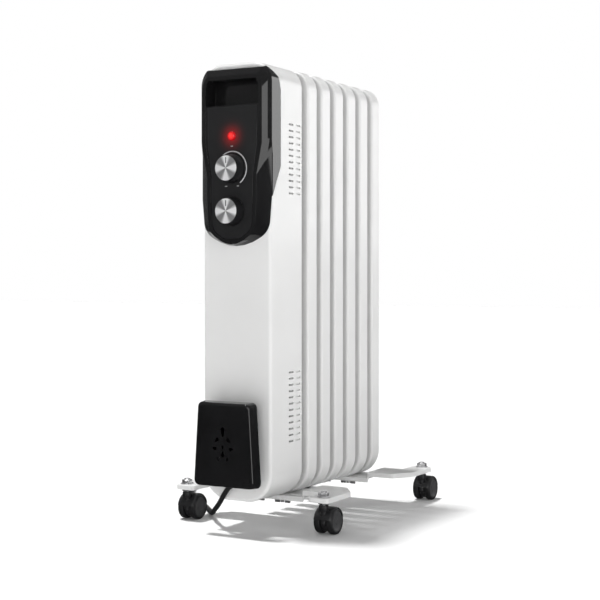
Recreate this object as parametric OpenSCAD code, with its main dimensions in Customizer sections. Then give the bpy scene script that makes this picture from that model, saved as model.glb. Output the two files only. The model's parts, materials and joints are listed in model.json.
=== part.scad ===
// Oil filled radiator heater on four swivel casters.
// Millimetres, +Z up, the front looks along -Y and the fins stack along +Y.
// The origin is on the floor, under the middle of the box around the heater without its cord.

/* [Fins] */
// Height of the top of the fins above the floor
body_top = 630; // [600:5:660]
// Height of the underside of the fins above the floor
body_bottom = 42; // [42:0.5:43]
// Width of a fin
fin_w = 113; // [112:0.5:116]
// Distance from one fin to the next
fin_pitch = 39; // [38:0.5:41]
// Depth of the folded edge of a fin
fin_flange = 23; // [20:1:26]
// Radius of the upper corners
corner_top = 28; // [24:1:32]
// Radius of the lower corners
corner_bottom = 38; // [34:1:40]
// Thickness of the fin sheet
sheet = 0.8; // [0.7:0.1:1.2]

/* [Control housing] */
// Width of the control housing
housing_w = 107; // [106:0.5:109]
// Depth of the control housing
housing_depth = 82; // [81:0.5:83]
// Thickness of the housing sheet
housing_wall = 1.2; // [1:0.1:1.5]
// How far the black bezel stands in front of the housing
bezel_out = 13; // [12:0.5:15]
// How far the bezel wraps round the sides of the housing
bezel_wrap = 23; // [18:1:28]
// Number of slots in each column of side vents
vent_rows = 12; // [8:1:12]

/* [Controls] */
// Height of the thermostat knob's axis
thermostat_z = 487.5; // [485:0.5:490]
// Distance between the two knob axes
knob_spacing = 57; // [54:1:58]
// Radius of a knob at its foot
knob_r = 19.4; // [18:0.2:20]
// Height of a knob in front of the panel
knob_h = 18.5; // [16:0.5:20]
// Height of the pilot light
pilot_z = 531; // [528:1:534]

/* [Cord winder] */
// Distance of the winder plate's front from the housing
winder_out = 36; // [34:1:40]
// Height of the winder plate's lower edge
winder_z0 = 66; // [66:1:68]
// Height of the winder plate
winder_h = 110; // [106:1:114]
// Width of the winder plate at its top
winder_top_w = 76; // [72:1:80]
// Width of the winder plate at its foot
winder_foot_w = 93; // [88:1:98]

/* [Feet and casters] */
// Distance of a caster stem from the middle plane
stem_x = 110; // [110:0.5:112]
// Distance of the front caster stems behind the housing's front
front_stem_y = 42; // [41:0.5:43]
// Distance of the rear caster stems behind the housing's front
rear_stem_y = 354; // [353:0.5:355]
// Radius of a caster wheel
wheel_r = 17; // [16.5:0.1:17.2]
// Distance of the wheel axle behind the stem
caster_trail = 13; // [12:0.5:13.5]

/* [Power cord] */
// Diameter of the power cord
cord_d = 7; // [6.5:0.1:7]

/* [Hidden] */
$fn = 64;
eps = 0.01;
white = [0.93, 0.93, 0.92];
black = [0.06, 0.06, 0.065];
steel = [0.72, 0.73, 0.74];

// Fins: the first stands inside the rear of the control housing and is a little smaller.
fin_count = 7;
first_fin_y = housing_depth - 2.6 - fin_flange;
first_fin_inset = 5.5;
first_fin_lift = 4;
bulge_front = 6;
bulge_rear = 14;
channel_w = 70;
channel_margin = 14;
web_w = 14;
web_end = 62;
neck_r = 18;
neck_wall = 2;
header_z = body_bottom + channel_margin + channel_w / 2;
header_top_z = body_top - channel_margin - channel_w / 2;
function fin_y(i) = first_fin_y + (i - 1) * fin_pitch;

// Screws, and the oil filler's thread
screw_r = 1.9;
screw_head_r = 3.6;
screw_head_h = 2;
foot_screw_x = [-9, 9];
foot_screw_y = 66;
filler_r = 5;

// Heating element
rod_r = 3.5;
rod_x = 7;
flange_t = 4;
flange_r = 23;
element_front_y = fin_y(1) - bulge_front - flange_t - 14;
element_rear_y = fin_y(6);

// Housing and bezel
shield_y = 40;
shield_w = 100;
shield_screw_x = [-42, 42];
shield_screw_z = [160, 560];
spacer_r = 4;
controls_hole_w = 56;
controls_hole_margin = 24;
pocket_gap = 4;
pocket_w = 82;
pocket_z0 = 573.5;
pocket_z1 = 609;
pocket_depth = 14;
pocket_wall = 2;
bezel_skin = 1.7;
bezel_foot_z = 385;
bezel_shoulder_z = 488;
bezel_front_w = 92;
bezel_front_top_z = 612;
bezel_foot_w = 102;
bezel_front_foot_w = 77;
panel_inset = 1;
panel_t = 2;
panel_y = -bezel_out + panel_inset;
panel_w = 79.2;
panel_foot_w = 66;
panel_foot_z = 393.5;
panel_waist_z = 478;
panel_hip_z = 520;
panel_corner = 20;
vent_pitch = 8.5;
vent_len = 12;
vent_h = 2.6;
vent_y = [47, 66];
vent_tops = [551, 215];

// Controls
selector_z = thermostat_z - knob_spacing;
spindle_r = 3;
knob_top_r = 17.6;
knob_cap_r = 16.8;
knob_cap_t = 0.8;
knob_gap = 0.5;
running_gap = 0.05;
lens_r = 6;
thermostat_d = 24;
selector_d = 22;

// Wiring
cutout_r = 8;
cutout_x = 21;
cutout_z = 400;
block_z = 232;
block_h = 15;
block_d = 14;
block_y = shield_y - block_d / 2;
earth_x = 34;
earth_z = 240;
wire_x = 26;
wire_y = 24;

// Cord winder
winder_rim = 13;
winder_wall = 2.5;
spool_w = 44;
spool_z0 = 86;
spool_z1 = 156;
spool_hole_x = 12;
spool_hole_z = [spool_z0 + 18, spool_z1 - 36];
entry_r = 6;
entry_z = spool_z1 - 20;

// Feet: v runs inwards from the line of the stems.
steel_t = 1.5;
pad_z = 51;
lip = 7;
cradle_x = 60;
ear_x0 = 92;
ear_x1 = 122;
ear_v = -11;
wing_v0 = 31;
wing_v1 = 86;
chamfer_v = 55;
chamfer_x = 21;
bolt_wire_r = 2.5;
bolt_x = neck_r + bolt_wire_r + 0.5;
front_bolt_v = 43;
rear_bolt_v = 74;

// Casters
thread_r = 4;
pivot_r = 3;
collar_r = 5;
hood_r = 19.5;
hood_inner_r = 18;
hood_half_w = 13.6;
hood_web = 9;
hood_top_z = 40;
axle_r = 2.5;
wheel_in = 4.9;
wheel_out = 14;
wheel_w = wheel_out - wheel_in;

// The box around everything but the cord runs from the winder plate to the rear casters.
centre_y = (rear_stem_y + caster_trail + hood_r - winder_out) / 2;

// Route of the cord from the strain relief to the coil, in the housing's own frame
cord_r = cord_d / 2;
relief_len = 26;
cord_route = [
    [-9, -13, 66], [-16, -13, 54], [-27, -5, 45], [-43, 15, 36], [-60, 38, 26],
    [-74, 63, 15], [-90, 86, 7], [-108, 105, 3.6], [-130, 124, 3.6], [-160, 147, 3.6],
    [-195, 180, 3.6], [-225, 220, 3.6], [-248, 262, 3.6], [-258, 305, 3.6], [-259, 350, 3.6]
];
cord_steps = 4;
cord_sides = 10;
coil_at = [-215, 375];
coil_r = 40;
coil_half = cord_d;
plug_at = [-177, 399, 22.5];
plug_len = 44;
plug_w = 35;
plug_h = 17;
plug_tail = 22;
pin_r = 2.4;
pin_len = 19;
pin_spacing = 19;
earth_pin_offset = 3;

// ---- helpers ----

// Outline in the XZ plane with round corners, drawn as X and Y
module outline(w, z0, z1, r_top, r_bottom) {
    translate([-w / 2, z0 + r_bottom]) square([w, z1 - r_top - z0 - r_bottom]);
    translate([-w / 2 + r_top, z0 + r_bottom]) square([w - 2 * r_top, z1 - z0 - r_bottom]);
    translate([-w / 2 + r_bottom, z0]) square([w - 2 * r_bottom, z1 - r_top - z0]);
    for (s = [-1, 1]) {
        translate([s * (w / 2 - r_top), z1 - r_top]) circle(r_top);
        translate([s * (w / 2 - r_bottom), z0 + r_bottom]) circle(r_bottom);
    }
}

// Extrudes a drawing of the XZ plane from y0 to y1
module along_y(y0, y1) {
    translate([0, y1, 0]) rotate([90, 0, 0]) linear_extrude(y1 - y0) children();
}

// A slab with round corners between y0 and y1
module slab(w, z0, z1, r_top, r_bottom, y0, y1) {
    along_y(y0, y1) outline(w, z0, z1, r_top, r_bottom);
}

// A cylinder along +Y from y0 to y1
module rod_y(r, x, z, y0, y1, r2 = -1) {
    translate([x, y0, z]) rotate([-90, 0, 0]) cylinder(h = y1 - y0, r1 = r, r2 = r2 < 0 ? r : r2);
}

// A cylinder along +X from x0 to x1
module rod_x_axis(r, x0, x1, y, z) {
    translate([x0, y, z]) rotate([0, 90, 0]) cylinder(h = x1 - x0, r = r);
}

// Moves the housing's frame to the part's frame
module placed() {
    translate([0, -centre_y, 0]) children();
}

// ---- fins ----

// A slot with round ends standing upright in the XZ plane, between y0 and y1
module upright_slot(w, z0, z1, y0, y1) {
    along_y(y0, y1) {
        translate([-w / 2, z0 + w / 2]) square([w, z1 - z0 - w]);
        for (z = [z0 + w / 2, z1 - w / 2]) translate([0, z]) circle(w / 2);
    }
}

// The oil channel of a fin, grown inwards by i for its cavity
module channel(i, y) {
    z0 = body_bottom + channel_margin;
    z1 = body_top - channel_margin;
    difference() {
        upright_slot(channel_w - 2 * i, z0 + i, z1 - i, y - bulge_front + i, y + bulge_rear - i);
        upright_slot(web_w + 2 * i, z0 + web_end - i, z1 - web_end + i,
            y - bulge_front - 1, y + bulge_rear + 1);
    }
}

module fin(n) {
    y = fin_y(n);
    inset = n == 1 ? first_fin_inset : 0;
    lift = n == 1 ? first_fin_lift : 0;
    w = fin_w - 2 * inset;
    z0 = body_bottom + lift;
    z1 = body_top - lift;
    rt = corner_top - lift;
    rb = corner_bottom - lift;
    color(white) placed() difference() {
        union() {
            difference() {
                slab(w, z0, z1, rt, rb, y, y + fin_flange);
                slab(w - 2 * sheet, z0 + sheet, z1 - sheet, rt - sheet, rb - sheet,
                    y + sheet, y + fin_flange + 1);
            }
            channel(0, y);
            if (n < fin_count)
                for (z = [header_z, header_top_z])
                    rod_y(neck_r, 0, z, y + bulge_rear - sheet, y + fin_pitch - bulge_front);
        }
        channel(sheet, y);
        if (n < fin_count)
            for (z = [header_z, header_top_z])
                rod_y(neck_r - neck_wall, 0, z, y, y + fin_pitch);
        if (n > 1)
            for (z = [header_z, header_top_z])
                rod_y(neck_r - neck_wall, 0, z, y - bulge_front - 1, y);
        if (n == 1) {
            rod_y(neck_r - neck_wall, 0, header_z, y - bulge_front - 1, y);
            for (x = foot_screw_x) translate([x, foot_screw_y, z0 - 1])
                cylinder(h = sheet + 2, r = screw_r);
            for (x = shield_screw_x, z = shield_screw_z) rod_y(screw_r, x, z, y - 1, y + sheet + 1);
        }
        if (n == fin_count)
            rod_y(filler_r, 0, header_top_z, y, y + bulge_rear + 1);
    }
}

module oil_filler_plug() {
    y = fin_y(fin_count) + bulge_rear;
    color(steel) placed() {
        rod_y(filler_r, 0, header_top_z, y - 4, y + eps);
        rod_y(filler_r + 3, 0, header_top_z, y, y + 4);
    }
}

module heating_element() {
    color(steel) placed() {
        for (s = [-1, 1]) rod_y(rod_r, s * rod_x, header_z, element_front_y, element_rear_y);
        translate([0, element_rear_y, header_z])
            rotate_extrude(angle = 180) translate([rod_x, 0]) circle(rod_r);
    }
}

module element_flange() {
    y = fin_y(1) - bulge_front;
    color(steel) placed() difference() {
        union() {
            rod_y(flange_r, 0, header_z, y - flange_t, y);
            rod_y(neck_r - neck_wall - 0.1, 0, header_z, y - eps, y + 5);
        }
        for (s = [-1, 1]) rod_y(rod_r, s * rod_x, header_z, y - flange_t - 1, y + 6);
    }
}

// ---- control housing ----

module vent_group(z_top) {
    for (row = [0 : vent_rows - 1], y = vent_y)
        translate([-housing_w / 2 - 1, y, z_top - row * vent_pitch - vent_h])
            cube([housing_w + 2, vent_len, vent_h]);
}

module control_housing() {
    t = housing_wall;
    color(white) placed() difference() {
        slab(housing_w, body_bottom, body_top, corner_top, corner_bottom, 0, housing_depth);
        slab(housing_w - 2 * t, body_bottom + t, body_top - t, corner_top - t, corner_bottom - t,
            t, housing_depth + 1);
        translate([-pocket_w / 2 - pocket_gap, -1, pocket_z0 - pocket_gap])
            cube([pocket_w + 2 * pocket_gap, t + 2, pocket_z1 - pocket_z0 + 2 * pocket_gap]);
        translate([-controls_hole_w / 2, -1, selector_z - controls_hole_margin])
            cube([controls_hole_w, t + 2, pilot_z - selector_z + 40]);
        rod_y(entry_r, 0, entry_z, -1, t + 1);
        for (z = vent_tops) vent_group(z);
        for (x = foot_screw_x) translate([x, foot_screw_y, body_bottom - 1])
            cylinder(h = t + 2, r = screw_r + 0.1);
        for (z = spool_hole_z) rod_y(screw_r + 0.1, spool_hole_x, z, -1, t + 1);
    }
}

module housing_screws() {
    color(steel) placed()
        for (x = foot_screw_x) translate([x, foot_screw_y, 0]) {
            translate([0, 0, body_bottom - screw_head_h]) cylinder(h = screw_head_h, r = screw_head_r);
            translate([0, 0, body_bottom - eps]) cylinder(h = first_fin_lift + 3, r = screw_r);
        }
}

module heat_shield() {
    color(steel) placed() difference() {
        slab(shield_w, body_bottom + 8, body_top - 8, corner_top - 6, corner_bottom - 6,
            shield_y, shield_y + sheet);
        rod_y(flange_r + 2, 0, header_z, shield_y - 1, shield_y + 2);
        rod_y(cutout_r + 3, cutout_x, cutout_z, shield_y - 1, shield_y + 2);
        for (x = shield_screw_x, z = shield_screw_z) rod_y(screw_r, x, z, shield_y - 1, shield_y + 2);
        rod_y(screw_r, earth_x, earth_z, shield_y - 1, shield_y + 2);
    }
}

module shield_screws() {
    plate_y = fin_y(1) + sheet;
    color(steel) placed()
        for (x = shield_screw_x, z = shield_screw_z) {
            rod_y(screw_head_r, x, z, shield_y - screw_head_h, shield_y);
            rod_y(screw_r, x, z, shield_y - eps, plate_y + 3);
        }
}

module shield_spacers() {
    color(steel) placed()
        for (x = shield_screw_x, z = shield_screw_z) difference() {
            rod_y(spacer_r, x, z, shield_y + sheet, fin_y(1));
            rod_y(screw_r, x, z, shield_y, fin_y(1) + 1);
        }
}

// ---- bezel and panel ----

// Outline of the inset panel, as X and Z, made smaller all round by i
function foot_corner(side, a, i) = [
    side * (panel_foot_w / 2 - panel_corner) + (panel_corner - i) * cos(a),
    panel_foot_z + panel_corner + (panel_corner - i) * sin(a)
];
function panel_points(i) = [
    [panel_foot_w / 2 - i, panel_waist_z],
    [panel_w / 2 - i, panel_hip_z],
    [panel_w / 2 - i, pocket_z0 - pocket_wall - i],
    [-panel_w / 2 + i, pocket_z0 - pocket_wall - i],
    [-panel_w / 2 + i, panel_hip_z],
    [-panel_foot_w / 2 + i, panel_waist_z],
    for (a = [180 : 15 : 270]) foot_corner(-1, a, i),
    for (a = [270 : 15 : 360]) foot_corner(1, a, i)
];

// Outer form of the bezel in front of the housing
module bezel_cap() {
    front = -bezel_out;
    base_w = housing_w + 2 * bezel_skin;
    mid_z = bezel_shoulder_z + 12;
    hull() {
        slab(bezel_front_w, mid_z, bezel_front_top_z, 20, 1, front, front + 1, $fn = 32);
        slab(base_w, mid_z - 10, body_top - 1, corner_top, 1, -1, 0, $fn = 32);
    }
    hull() {
        slab(bezel_front_w, mid_z + 5, mid_z + 15, 1, 1, front, front + 1, $fn = 32);
        slab(bezel_front_foot_w, bezel_foot_z + 1, mid_z - 30, 1, 22, front, front + 1, $fn = 32);
        slab(base_w, mid_z - 20, mid_z + 15, 1, 1, -1, 0, $fn = 32);
        slab(bezel_foot_w, bezel_foot_z, mid_z - 60, 1, 34, -1, 0, $fn = 32);
    }
}

// Skin that wraps round the sides of the housing
module bezel_wrap_skin() {
    w = housing_w + 2 * bezel_skin;
    difference() {
        intersection() {
            slab(w, bezel_foot_z, body_top, corner_top + bezel_skin, 30, -eps, bezel_wrap);
            translate([-w / 2 - 1, 0, 0]) rotate([90, 0, 90]) linear_extrude(w + 2)
                polygon([[-1, bezel_foot_z + 17], [bezel_wrap, bezel_shoulder_z],
                    [bezel_wrap, body_top - 30], [bezel_wrap - 8, body_top - 8],
                    [-1, body_top - 2]]);
        }
        slab(housing_w, body_bottom, body_top, corner_top, corner_bottom, -1, bezel_wrap + 1);
    }
}

module control_bezel() {
    w = pocket_w;
    color(black) placed() difference() {
        union() {
            difference() {
                bezel_cap();
                along_y(panel_y + panel_t, 1) polygon(panel_points(3));
            }
            bezel_wrap_skin();
            translate([-w / 2 - pocket_wall, -bezel_out + 1, pocket_z0 - pocket_wall])
                cube([w + 2 * pocket_wall, bezel_out + pocket_depth, pocket_z1 - pocket_z0 + 4]);
        }
        along_y(-bezel_out - 1, panel_y + panel_t) polygon(panel_points(0));
        translate([-w / 2, -bezel_out - 1, pocket_z0])
            cube([w, bezel_out + pocket_depth - 1, pocket_z1 - pocket_z0]);
    }
}

module control_panel() {
    color([0.12, 0.12, 0.125]) placed() difference() {
        along_y(panel_y, panel_y + panel_t) polygon(panel_points(0.1));
        for (z = [thermostat_z, selector_z]) rod_y(spindle_r + 0.6, 0, z, panel_y - 1, 1);
        rod_y(lens_r, 0, pilot_z, panel_y - 1, 1);
    }
}

// ---- controls ----

module switch_body(z, w, h, depth) {
    color([0.85, 0.84, 0.8]) placed() difference() {
        translate([-w / 2, panel_y + panel_t, z - h / 2]) cube([w, depth, h]);
        rod_y(spindle_r + running_gap, 0, z, panel_y, panel_y + panel_t + 12);
    }
}

module spindle(z) {
    color(steel) placed()
        rod_y(spindle_r, 0, z, panel_y - knob_h + 5, panel_y + panel_t + 11);
}

module knob(z) {
    y0 = panel_y - knob_h;
    color(black) placed() difference() {
        rod_y(knob_top_r, 0, z, y0, panel_y - knob_gap, knob_r);
        rod_y(knob_cap_r, 0, z, y0 - 1, y0 + knob_cap_t);
        rod_y(spindle_r, 0, z, y0 + 5, panel_y);
        difference() {
            rod_y(knob_r - 4, 0, z, y0 + 9, panel_y);
            rod_y(spindle_r + 2.5, 0, z, y0 + 8, panel_y);
        }
    }
}

module knob_cap(z) {
    y0 = panel_y - knob_h;
    color(steel) placed() difference() {
        rod_y(knob_cap_r, 0, z, y0, y0 + knob_cap_t);
        translate([-0.9, y0 - 1, z + 7]) cube([1.8, 1.3, 7]);
    }
}

module pilot_lens() {
    color([0.85, 0.08, 0.06]) placed() {
        rod_y(lens_r, 0, pilot_z, panel_y - 1, panel_y + panel_t);
        rod_y(lens_r - 2, 0, pilot_z, panel_y - 3, panel_y - 1, lens_r);
    }
}

module pilot_lamp() {
    color([0.9, 0.88, 0.82]) placed()
        rod_y(4, 0, pilot_z, panel_y + panel_t, panel_y + panel_t + 18);
}

// ---- wiring ----

module thermal_cutout() {
    y = fin_y(1) - bulge_front;
    color([0.2, 0.18, 0.16]) placed() {
        rod_y(cutout_r, cutout_x, cutout_z, y - 7, y);
        for (s = [-1, 1]) translate([cutout_x + s * 4 - 1.5, y - 13, cutout_z - 0.5])
            cube([3, 6 + eps, 1]);
    }
}

module terminal_block() {
    color([0.9, 0.9, 0.86]) placed() difference() {
        translate([-20, shield_y - block_d, block_z]) cube([40, block_d, block_h]);
        for (x = [-12, 0, 12])
            rod_y(2.5, x, block_z + block_h / 2, shield_y - block_d - 1, shield_y - 8);
    }
}

module earth_screw() {
    color([0.8, 0.65, 0.25]) placed() {
        rod_y(screw_head_r, earth_x, earth_z, shield_y - screw_head_h, shield_y);
        rod_y(screw_r, earth_x, earth_z, shield_y - eps, shield_y + 6);
    }
}

// A run of wire through points, with a crimp sleeve at each turn
module wire(points) {
    r = 1.2;
    sleeve = 3.4;
    for (i = [0 : len(points) - 2]) {
        d = points[i + 1] - points[i];
        h = norm(d);
        translate(points[i]) rotate([0, acos(d.z / h), atan2(d.y, d.x)])
            cylinder(h = h, r = r, $fn = 16);
    }
    for (i = [1 : len(points) - 2]) translate(points[i]) cube(sleeve, center = true);
}

module internal_wiring() {
    back = panel_y + panel_t;
    color([0.1, 0.25, 0.6]) placed() {
        wire([[-12, block_y, block_z + block_h], [-12, block_y, thermostat_z],
            [-12, back + thermostat_d, thermostat_z]]);
        wire([[0, block_y, block_z + block_h], [0, block_y, selector_z],
            [0, back + selector_d, selector_z]]);
        wire([[12, back + thermostat_d, thermostat_z], [12, wire_y, thermostat_z],
            [wire_x, wire_y, thermostat_z], [wire_x, wire_y, header_z], [rod_x, wire_y, header_z],
            [rod_x, element_front_y, header_z]]);
        wire([[0, housing_wall + 1, entry_z], [0, block_y, entry_z], [0, block_y, block_z]]);
    }
}

// ---- cord winder ----

// Rounded trapezoid of the winder plate, as X and Z, made smaller all round by i
module winder_outline(i) {
    r = 9;
    k = 0.6 * r;
    hull() for (s = [-1, 1]) {
        translate([s * (winder_top_w / 2 - k), winder_z0 + winder_h - k]) circle(k - i, $fn = 32);
        translate([s * (winder_foot_w / 2 - r), winder_z0 + r]) circle(r - i, $fn = 32);
    }
}

// An upright slot with round ends through the winder plate, leaning by angle a
module plate_slot(x, z, r, len, a) {
    translate([x, -winder_out - 1, z]) rotate([0, a, 0]) {
        for (s = [-1, 1]) translate([0, 0, s * len / 2]) rotate([-90, 0, 0]) cylinder(h = 5, r = r);
        translate([-r, 0, -len / 2]) cube([2 * r, 5, len]);
    }
}

module winder_plate() {
    y0 = -winder_out;
    y1 = y0 + winder_rim;
    mid_z = winder_z0 + winder_h / 2;
    color(black) placed() difference() {
        hull() {
            along_y(y0, y0 + 1) winder_outline(3);
            along_y(y0 + 4, y1) winder_outline(0);
        }
        along_y(y0 + winder_wall, y1 + 1) winder_outline(winder_wall + 1);
        plate_slot(0, mid_z + 18, 3.5, 7, 0);
        for (s = [-1, 1]) {
            plate_slot(s * 8.5, mid_z + 6, 2.5, 5, s * -35);
            rod_y(1.8, s * 11, mid_z - 6, y0 - 1, y0 + 4);
            rod_y(1.8, s * 6, mid_z - 16, y0 - 1, y0 + 4);
        }
        for (dz = [-2, -11]) rod_y(2, 0, mid_z + dz, y0 - 1, y0 + 4);
    }
}

module winder_spool() {
    y0 = -winder_out + winder_wall;
    color(black) placed() difference() {
        slab(spool_w, spool_z0, spool_z1, 20, 20, y0, 0);
        slab(spool_w - 5, spool_z0 + 2.5, spool_z1 - 2.5, 17.5, 17.5, y0 - 1, -3);
        rod_y(entry_r, 0, entry_z, -4, 1);
        relief_cone();
        for (z = spool_hole_z) rod_y(screw_r, spool_hole_x, z, -4, 1);
    }
}

// ---- power cord ----

cord_exit = cord_route[0];
cord_way = (cord_route[1] - cord_exit) / norm(cord_route[1] - cord_exit);

module relief_cone() {
    translate(cord_exit) rotate([0, acos(-cord_way.z), 0])
        cylinder(h = relief_len, r1 = cord_r + 1, r2 = cord_r + 3);
}

module cord_strain_relief() {
    color(black) placed() relief_cone();
}

// A point on the smooth curve through the route, at t from one point to the next
function route_end(i) = cord_route[max(0, min(len(cord_route) - 1, i))];
function spline(i, t) =
    let (a = route_end(i - 1), b = route_end(i), c = route_end(i + 1), d = route_end(i + 2))
    0.5 * (2 * b + (c - a) * t + (2 * a - 5 * b + 4 * c - d) * t * t
        + (3 * b - a - 3 * c + d) * t * t * t);
cord_line = [
    for (i = [0 : len(cord_route) - 2], j = [0 : cord_steps - 1]) spline(i, j / cord_steps),
    cord_route[len(cord_route) - 1]
];
function unit(v) = v / norm(v);
function heading(k) =
    unit(cord_line[min(k + 1, len(cord_line) - 1)] - cord_line[max(k - 1, 0)]);

module power_cord() {
    n = cord_sides;
    last = len(cord_line) - 1;
    rings = [
        for (k = [0 : last], s = [0 : n - 1])
            let (t = heading(k), u = unit(cross(t, [0, 0, 1])), v = cross(u, t))
            cord_line[k] + cord_r * (cos(360 * s / n) * u + sin(360 * s / n) * v)
    ];
    sides = [
        for (k = [0 : last - 1], s = [0 : n - 1])
            let (a = k * n + s, b = k * n + (s + 1) % n)
            [a, a + n, b + n, b]
    ];
    ends = [[for (s = [0 : n - 1]) s], [for (s = [n - 1 : -1 : 0]) last * n + s]];
    color(black) placed() polyhedron(points = rings, faces = concat(sides, ends), convexity = 8);
}

module cord_coil() {
    color(black) placed() translate([coil_at.x, coil_at.y, 0]) rotate_extrude()
        translate([coil_r - coil_half, 0]) square([2 * coil_half, 2 * cord_d + 0.2]);
}

module power_plug() {
    x1 = plug_at.x + plug_len / 2;
    x0 = plug_at.x - plug_len / 2;
    color(black) placed() {
        translate([x0, plug_at.y, plug_at.z]) rotate([90, 0, 90]) linear_extrude(plug_len)
            polygon([[-plug_w / 2, 0], [-plug_w / 2 + 6, -plug_h / 2], [plug_w / 2 - 6, -plug_h / 2],
                [plug_w / 2, 0], [plug_w / 2 - 6, plug_h / 2], [-plug_w / 2 + 6, plug_h / 2]]);
        translate([x0 - plug_tail, plug_at.y, plug_at.z]) rotate([0, 90, 0])
            cylinder(h = plug_tail + eps, r1 = cord_r + 1, r2 = 7);
    }
}

module plug_pins() {
    x1 = plug_at.x + plug_len / 2;
    color(steel) placed() {
        for (s = [-1, 1])
            rod_x_axis(pin_r, x1, x1 + pin_len, plug_at.y + s * pin_spacing / 2, plug_at.z);
        rod_x_axis(pin_r, x1, x1 + pin_len, plug_at.y, plug_at.z + earth_pin_offset);
    }
}

// ---- feet ----

// Right wing of a foot bracket as X and v, made smaller all round by i
function wing_points(i) = [
    [cradle_x + i, wing_v0 + i], [ear_x0 + i, wing_v0 + i], [ear_x0 + i, ear_v + i],
    [ear_x1 - i, ear_v + i], [ear_x1 - i, chamfer_v - i / 2],
    [ear_x1 - chamfer_x - i / 2, wing_v1 - i],
    [cradle_x + i, wing_v1 - i]
];

module foot_bracket(bolt_v) {
    t = steel_t;
    cradle_w = 2 * (cradle_x + t);
    wing_len = wing_v1 - wing_v0;
    difference() {
        union() {
            for (s = [0, 1]) mirror([s, 0, 0]) {
                difference() {
                    translate([0, 0, pad_z - lip]) linear_extrude(lip) polygon(wing_points(0));
                    translate([0, 0, pad_z - lip - 1]) linear_extrude(lip - t + 1)
                        polygon(wing_points(t));
                }
                translate([cradle_x, wing_v0, body_bottom - lip])
                    cube([t, wing_len, pad_z - body_bottom + lip]);
            }
            translate([-cradle_w / 2, wing_v0, body_bottom - t]) cube([cradle_w, wing_len, t]);
            for (v = [wing_v0, wing_v1 - t])
                translate([-cradle_w / 2, v, body_bottom - lip]) cube([cradle_w, t, lip]);
        }
        for (s = [-1, 1]) {
            translate([s * stem_x, 0, pad_z - lip]) cylinder(h = lip + 1, r = thread_r + 0.2);
            translate([s * bolt_x, bolt_v, body_bottom - lip - 1])
                cylinder(h = lip + 2, r = bolt_wire_r + 0.3);
        }
    }
}

module front_foot_bracket() {
    color(white) placed() translate([0, front_stem_y, 0]) foot_bracket(front_bolt_v);
}

module rear_foot_bracket() {
    color(white) placed() translate([0, rear_stem_y, 0]) mirror([0, 1, 0])
        foot_bracket(rear_bolt_v);
}

bolt_ys = [front_stem_y + front_bolt_v, rear_stem_y - rear_bolt_v];

module clamp_u_bolts() {
    foot_z = body_bottom - 12;
    color(steel) placed() for (y = bolt_ys) {
        for (s = [-1, 1]) translate([s * bolt_x, y, foot_z])
            cylinder(h = header_z - foot_z, r = bolt_wire_r);
        translate([0, y, header_z]) rotate([90, 0, 0])
            rotate_extrude(angle = 180) translate([bolt_x, 0]) circle(bolt_wire_r);
    }
}

module wing_nuts() {
    top = body_bottom - steel_t;
    color(steel) placed() for (y = bolt_ys, s = [-1, 1]) translate([s * bolt_x, y, 0])
        difference() {
            union() {
                translate([0, 0, top - 7]) cylinder(h = 7, r = 5);
                for (k = [-1, 1]) translate([k * 8 - 4, -1, top - 11]) cube([8, 2, 8]);
            }
            translate([0, 0, top - 12]) cylinder(h = 13, r = bolt_wire_r);
        }
}

// ---- casters ----

stem_spots = [
    [-stem_x, front_stem_y], [stem_x, front_stem_y], [-stem_x, rear_stem_y], [stem_x, rear_stem_y]
];

module caster_stems() {
    under = pad_z - steel_t;
    color(steel) placed() for (p = stem_spots) translate([p.x, p.y, 0]) {
        translate([0, 0, 16]) cylinder(h = under - 16, r = pivot_r);
        translate([0, 0, hood_top_z + 1]) cylinder(h = under - hood_top_z - 1, r = collar_r);
        translate([0, 0, under - eps]) cylinder(h = 11.5, r = thread_r);
    }
}

module stem_nuts() {
    color(steel) placed() for (p = stem_spots) translate([p.x, p.y, pad_z]) difference() {
        cylinder(h = 6.5, r = 7.5, $fn = 6);
        translate([0, 0, -1]) cylinder(h = 9, r = thread_r);
    }
}

module caster_hood(p) {
    ay = p.y + caster_trail;
    color(black) placed() difference() {
        union() {
            rod_x_axis(14, p.x - hood_web / 2, p.x + hood_web / 2, ay, wheel_r);
            intersection() {
                rod_x_axis(hood_r, p.x - hood_web / 2, p.x + hood_web / 2, ay, wheel_r);
                translate([p.x - 20, ay - 30, wheel_r]) cube([40, 60, 30]);
            }
            intersection() {
                difference() {
                    rod_x_axis(hood_r, p.x - hood_half_w, p.x + hood_half_w, ay, wheel_r);
                    rod_x_axis(hood_inner_r, p.x - 20, p.x + 20, ay, wheel_r);
                }
                translate([p.x - 20, ay - 30, wheel_r + 4]) cube([40, 60, 30]);
            }
            translate([p.x, p.y, 14]) cylinder(h = 21, r = hood_web / 2);
            translate([p.x, p.y, wheel_r + hood_inner_r - 1])
                cylinder(h = hood_top_z - wheel_r - hood_inner_r + 1, r = 6.5);
        }
        translate([p.x, p.y, 15.5]) cylinder(h = 30, r = pivot_r + running_gap);
        rod_x_axis(axle_r, p.x - 20, p.x + 20, ay, wheel_r);
    }
}

module axle(p) {
    color(steel) placed()
        rod_x_axis(axle_r, p.x - 12, p.x + 12, p.y + caster_trail, wheel_r);
}

module wheel(p, side) {
    ay = p.y + caster_trail;
    inner = min(side * wheel_in, side * wheel_out);
    bore = min(side * (wheel_in - 1), side * (wheel_out - 1.7));
    color(black) placed() difference() {
        rod_x_axis(wheel_r, p.x + inner, p.x + inner + wheel_w, ay, wheel_r);
        rod_x_axis(axle_r + running_gap, p.x + bore, p.x + bore + wheel_w - 0.7, ay, wheel_r);
    }
}

// ---- nodes ----

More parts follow.
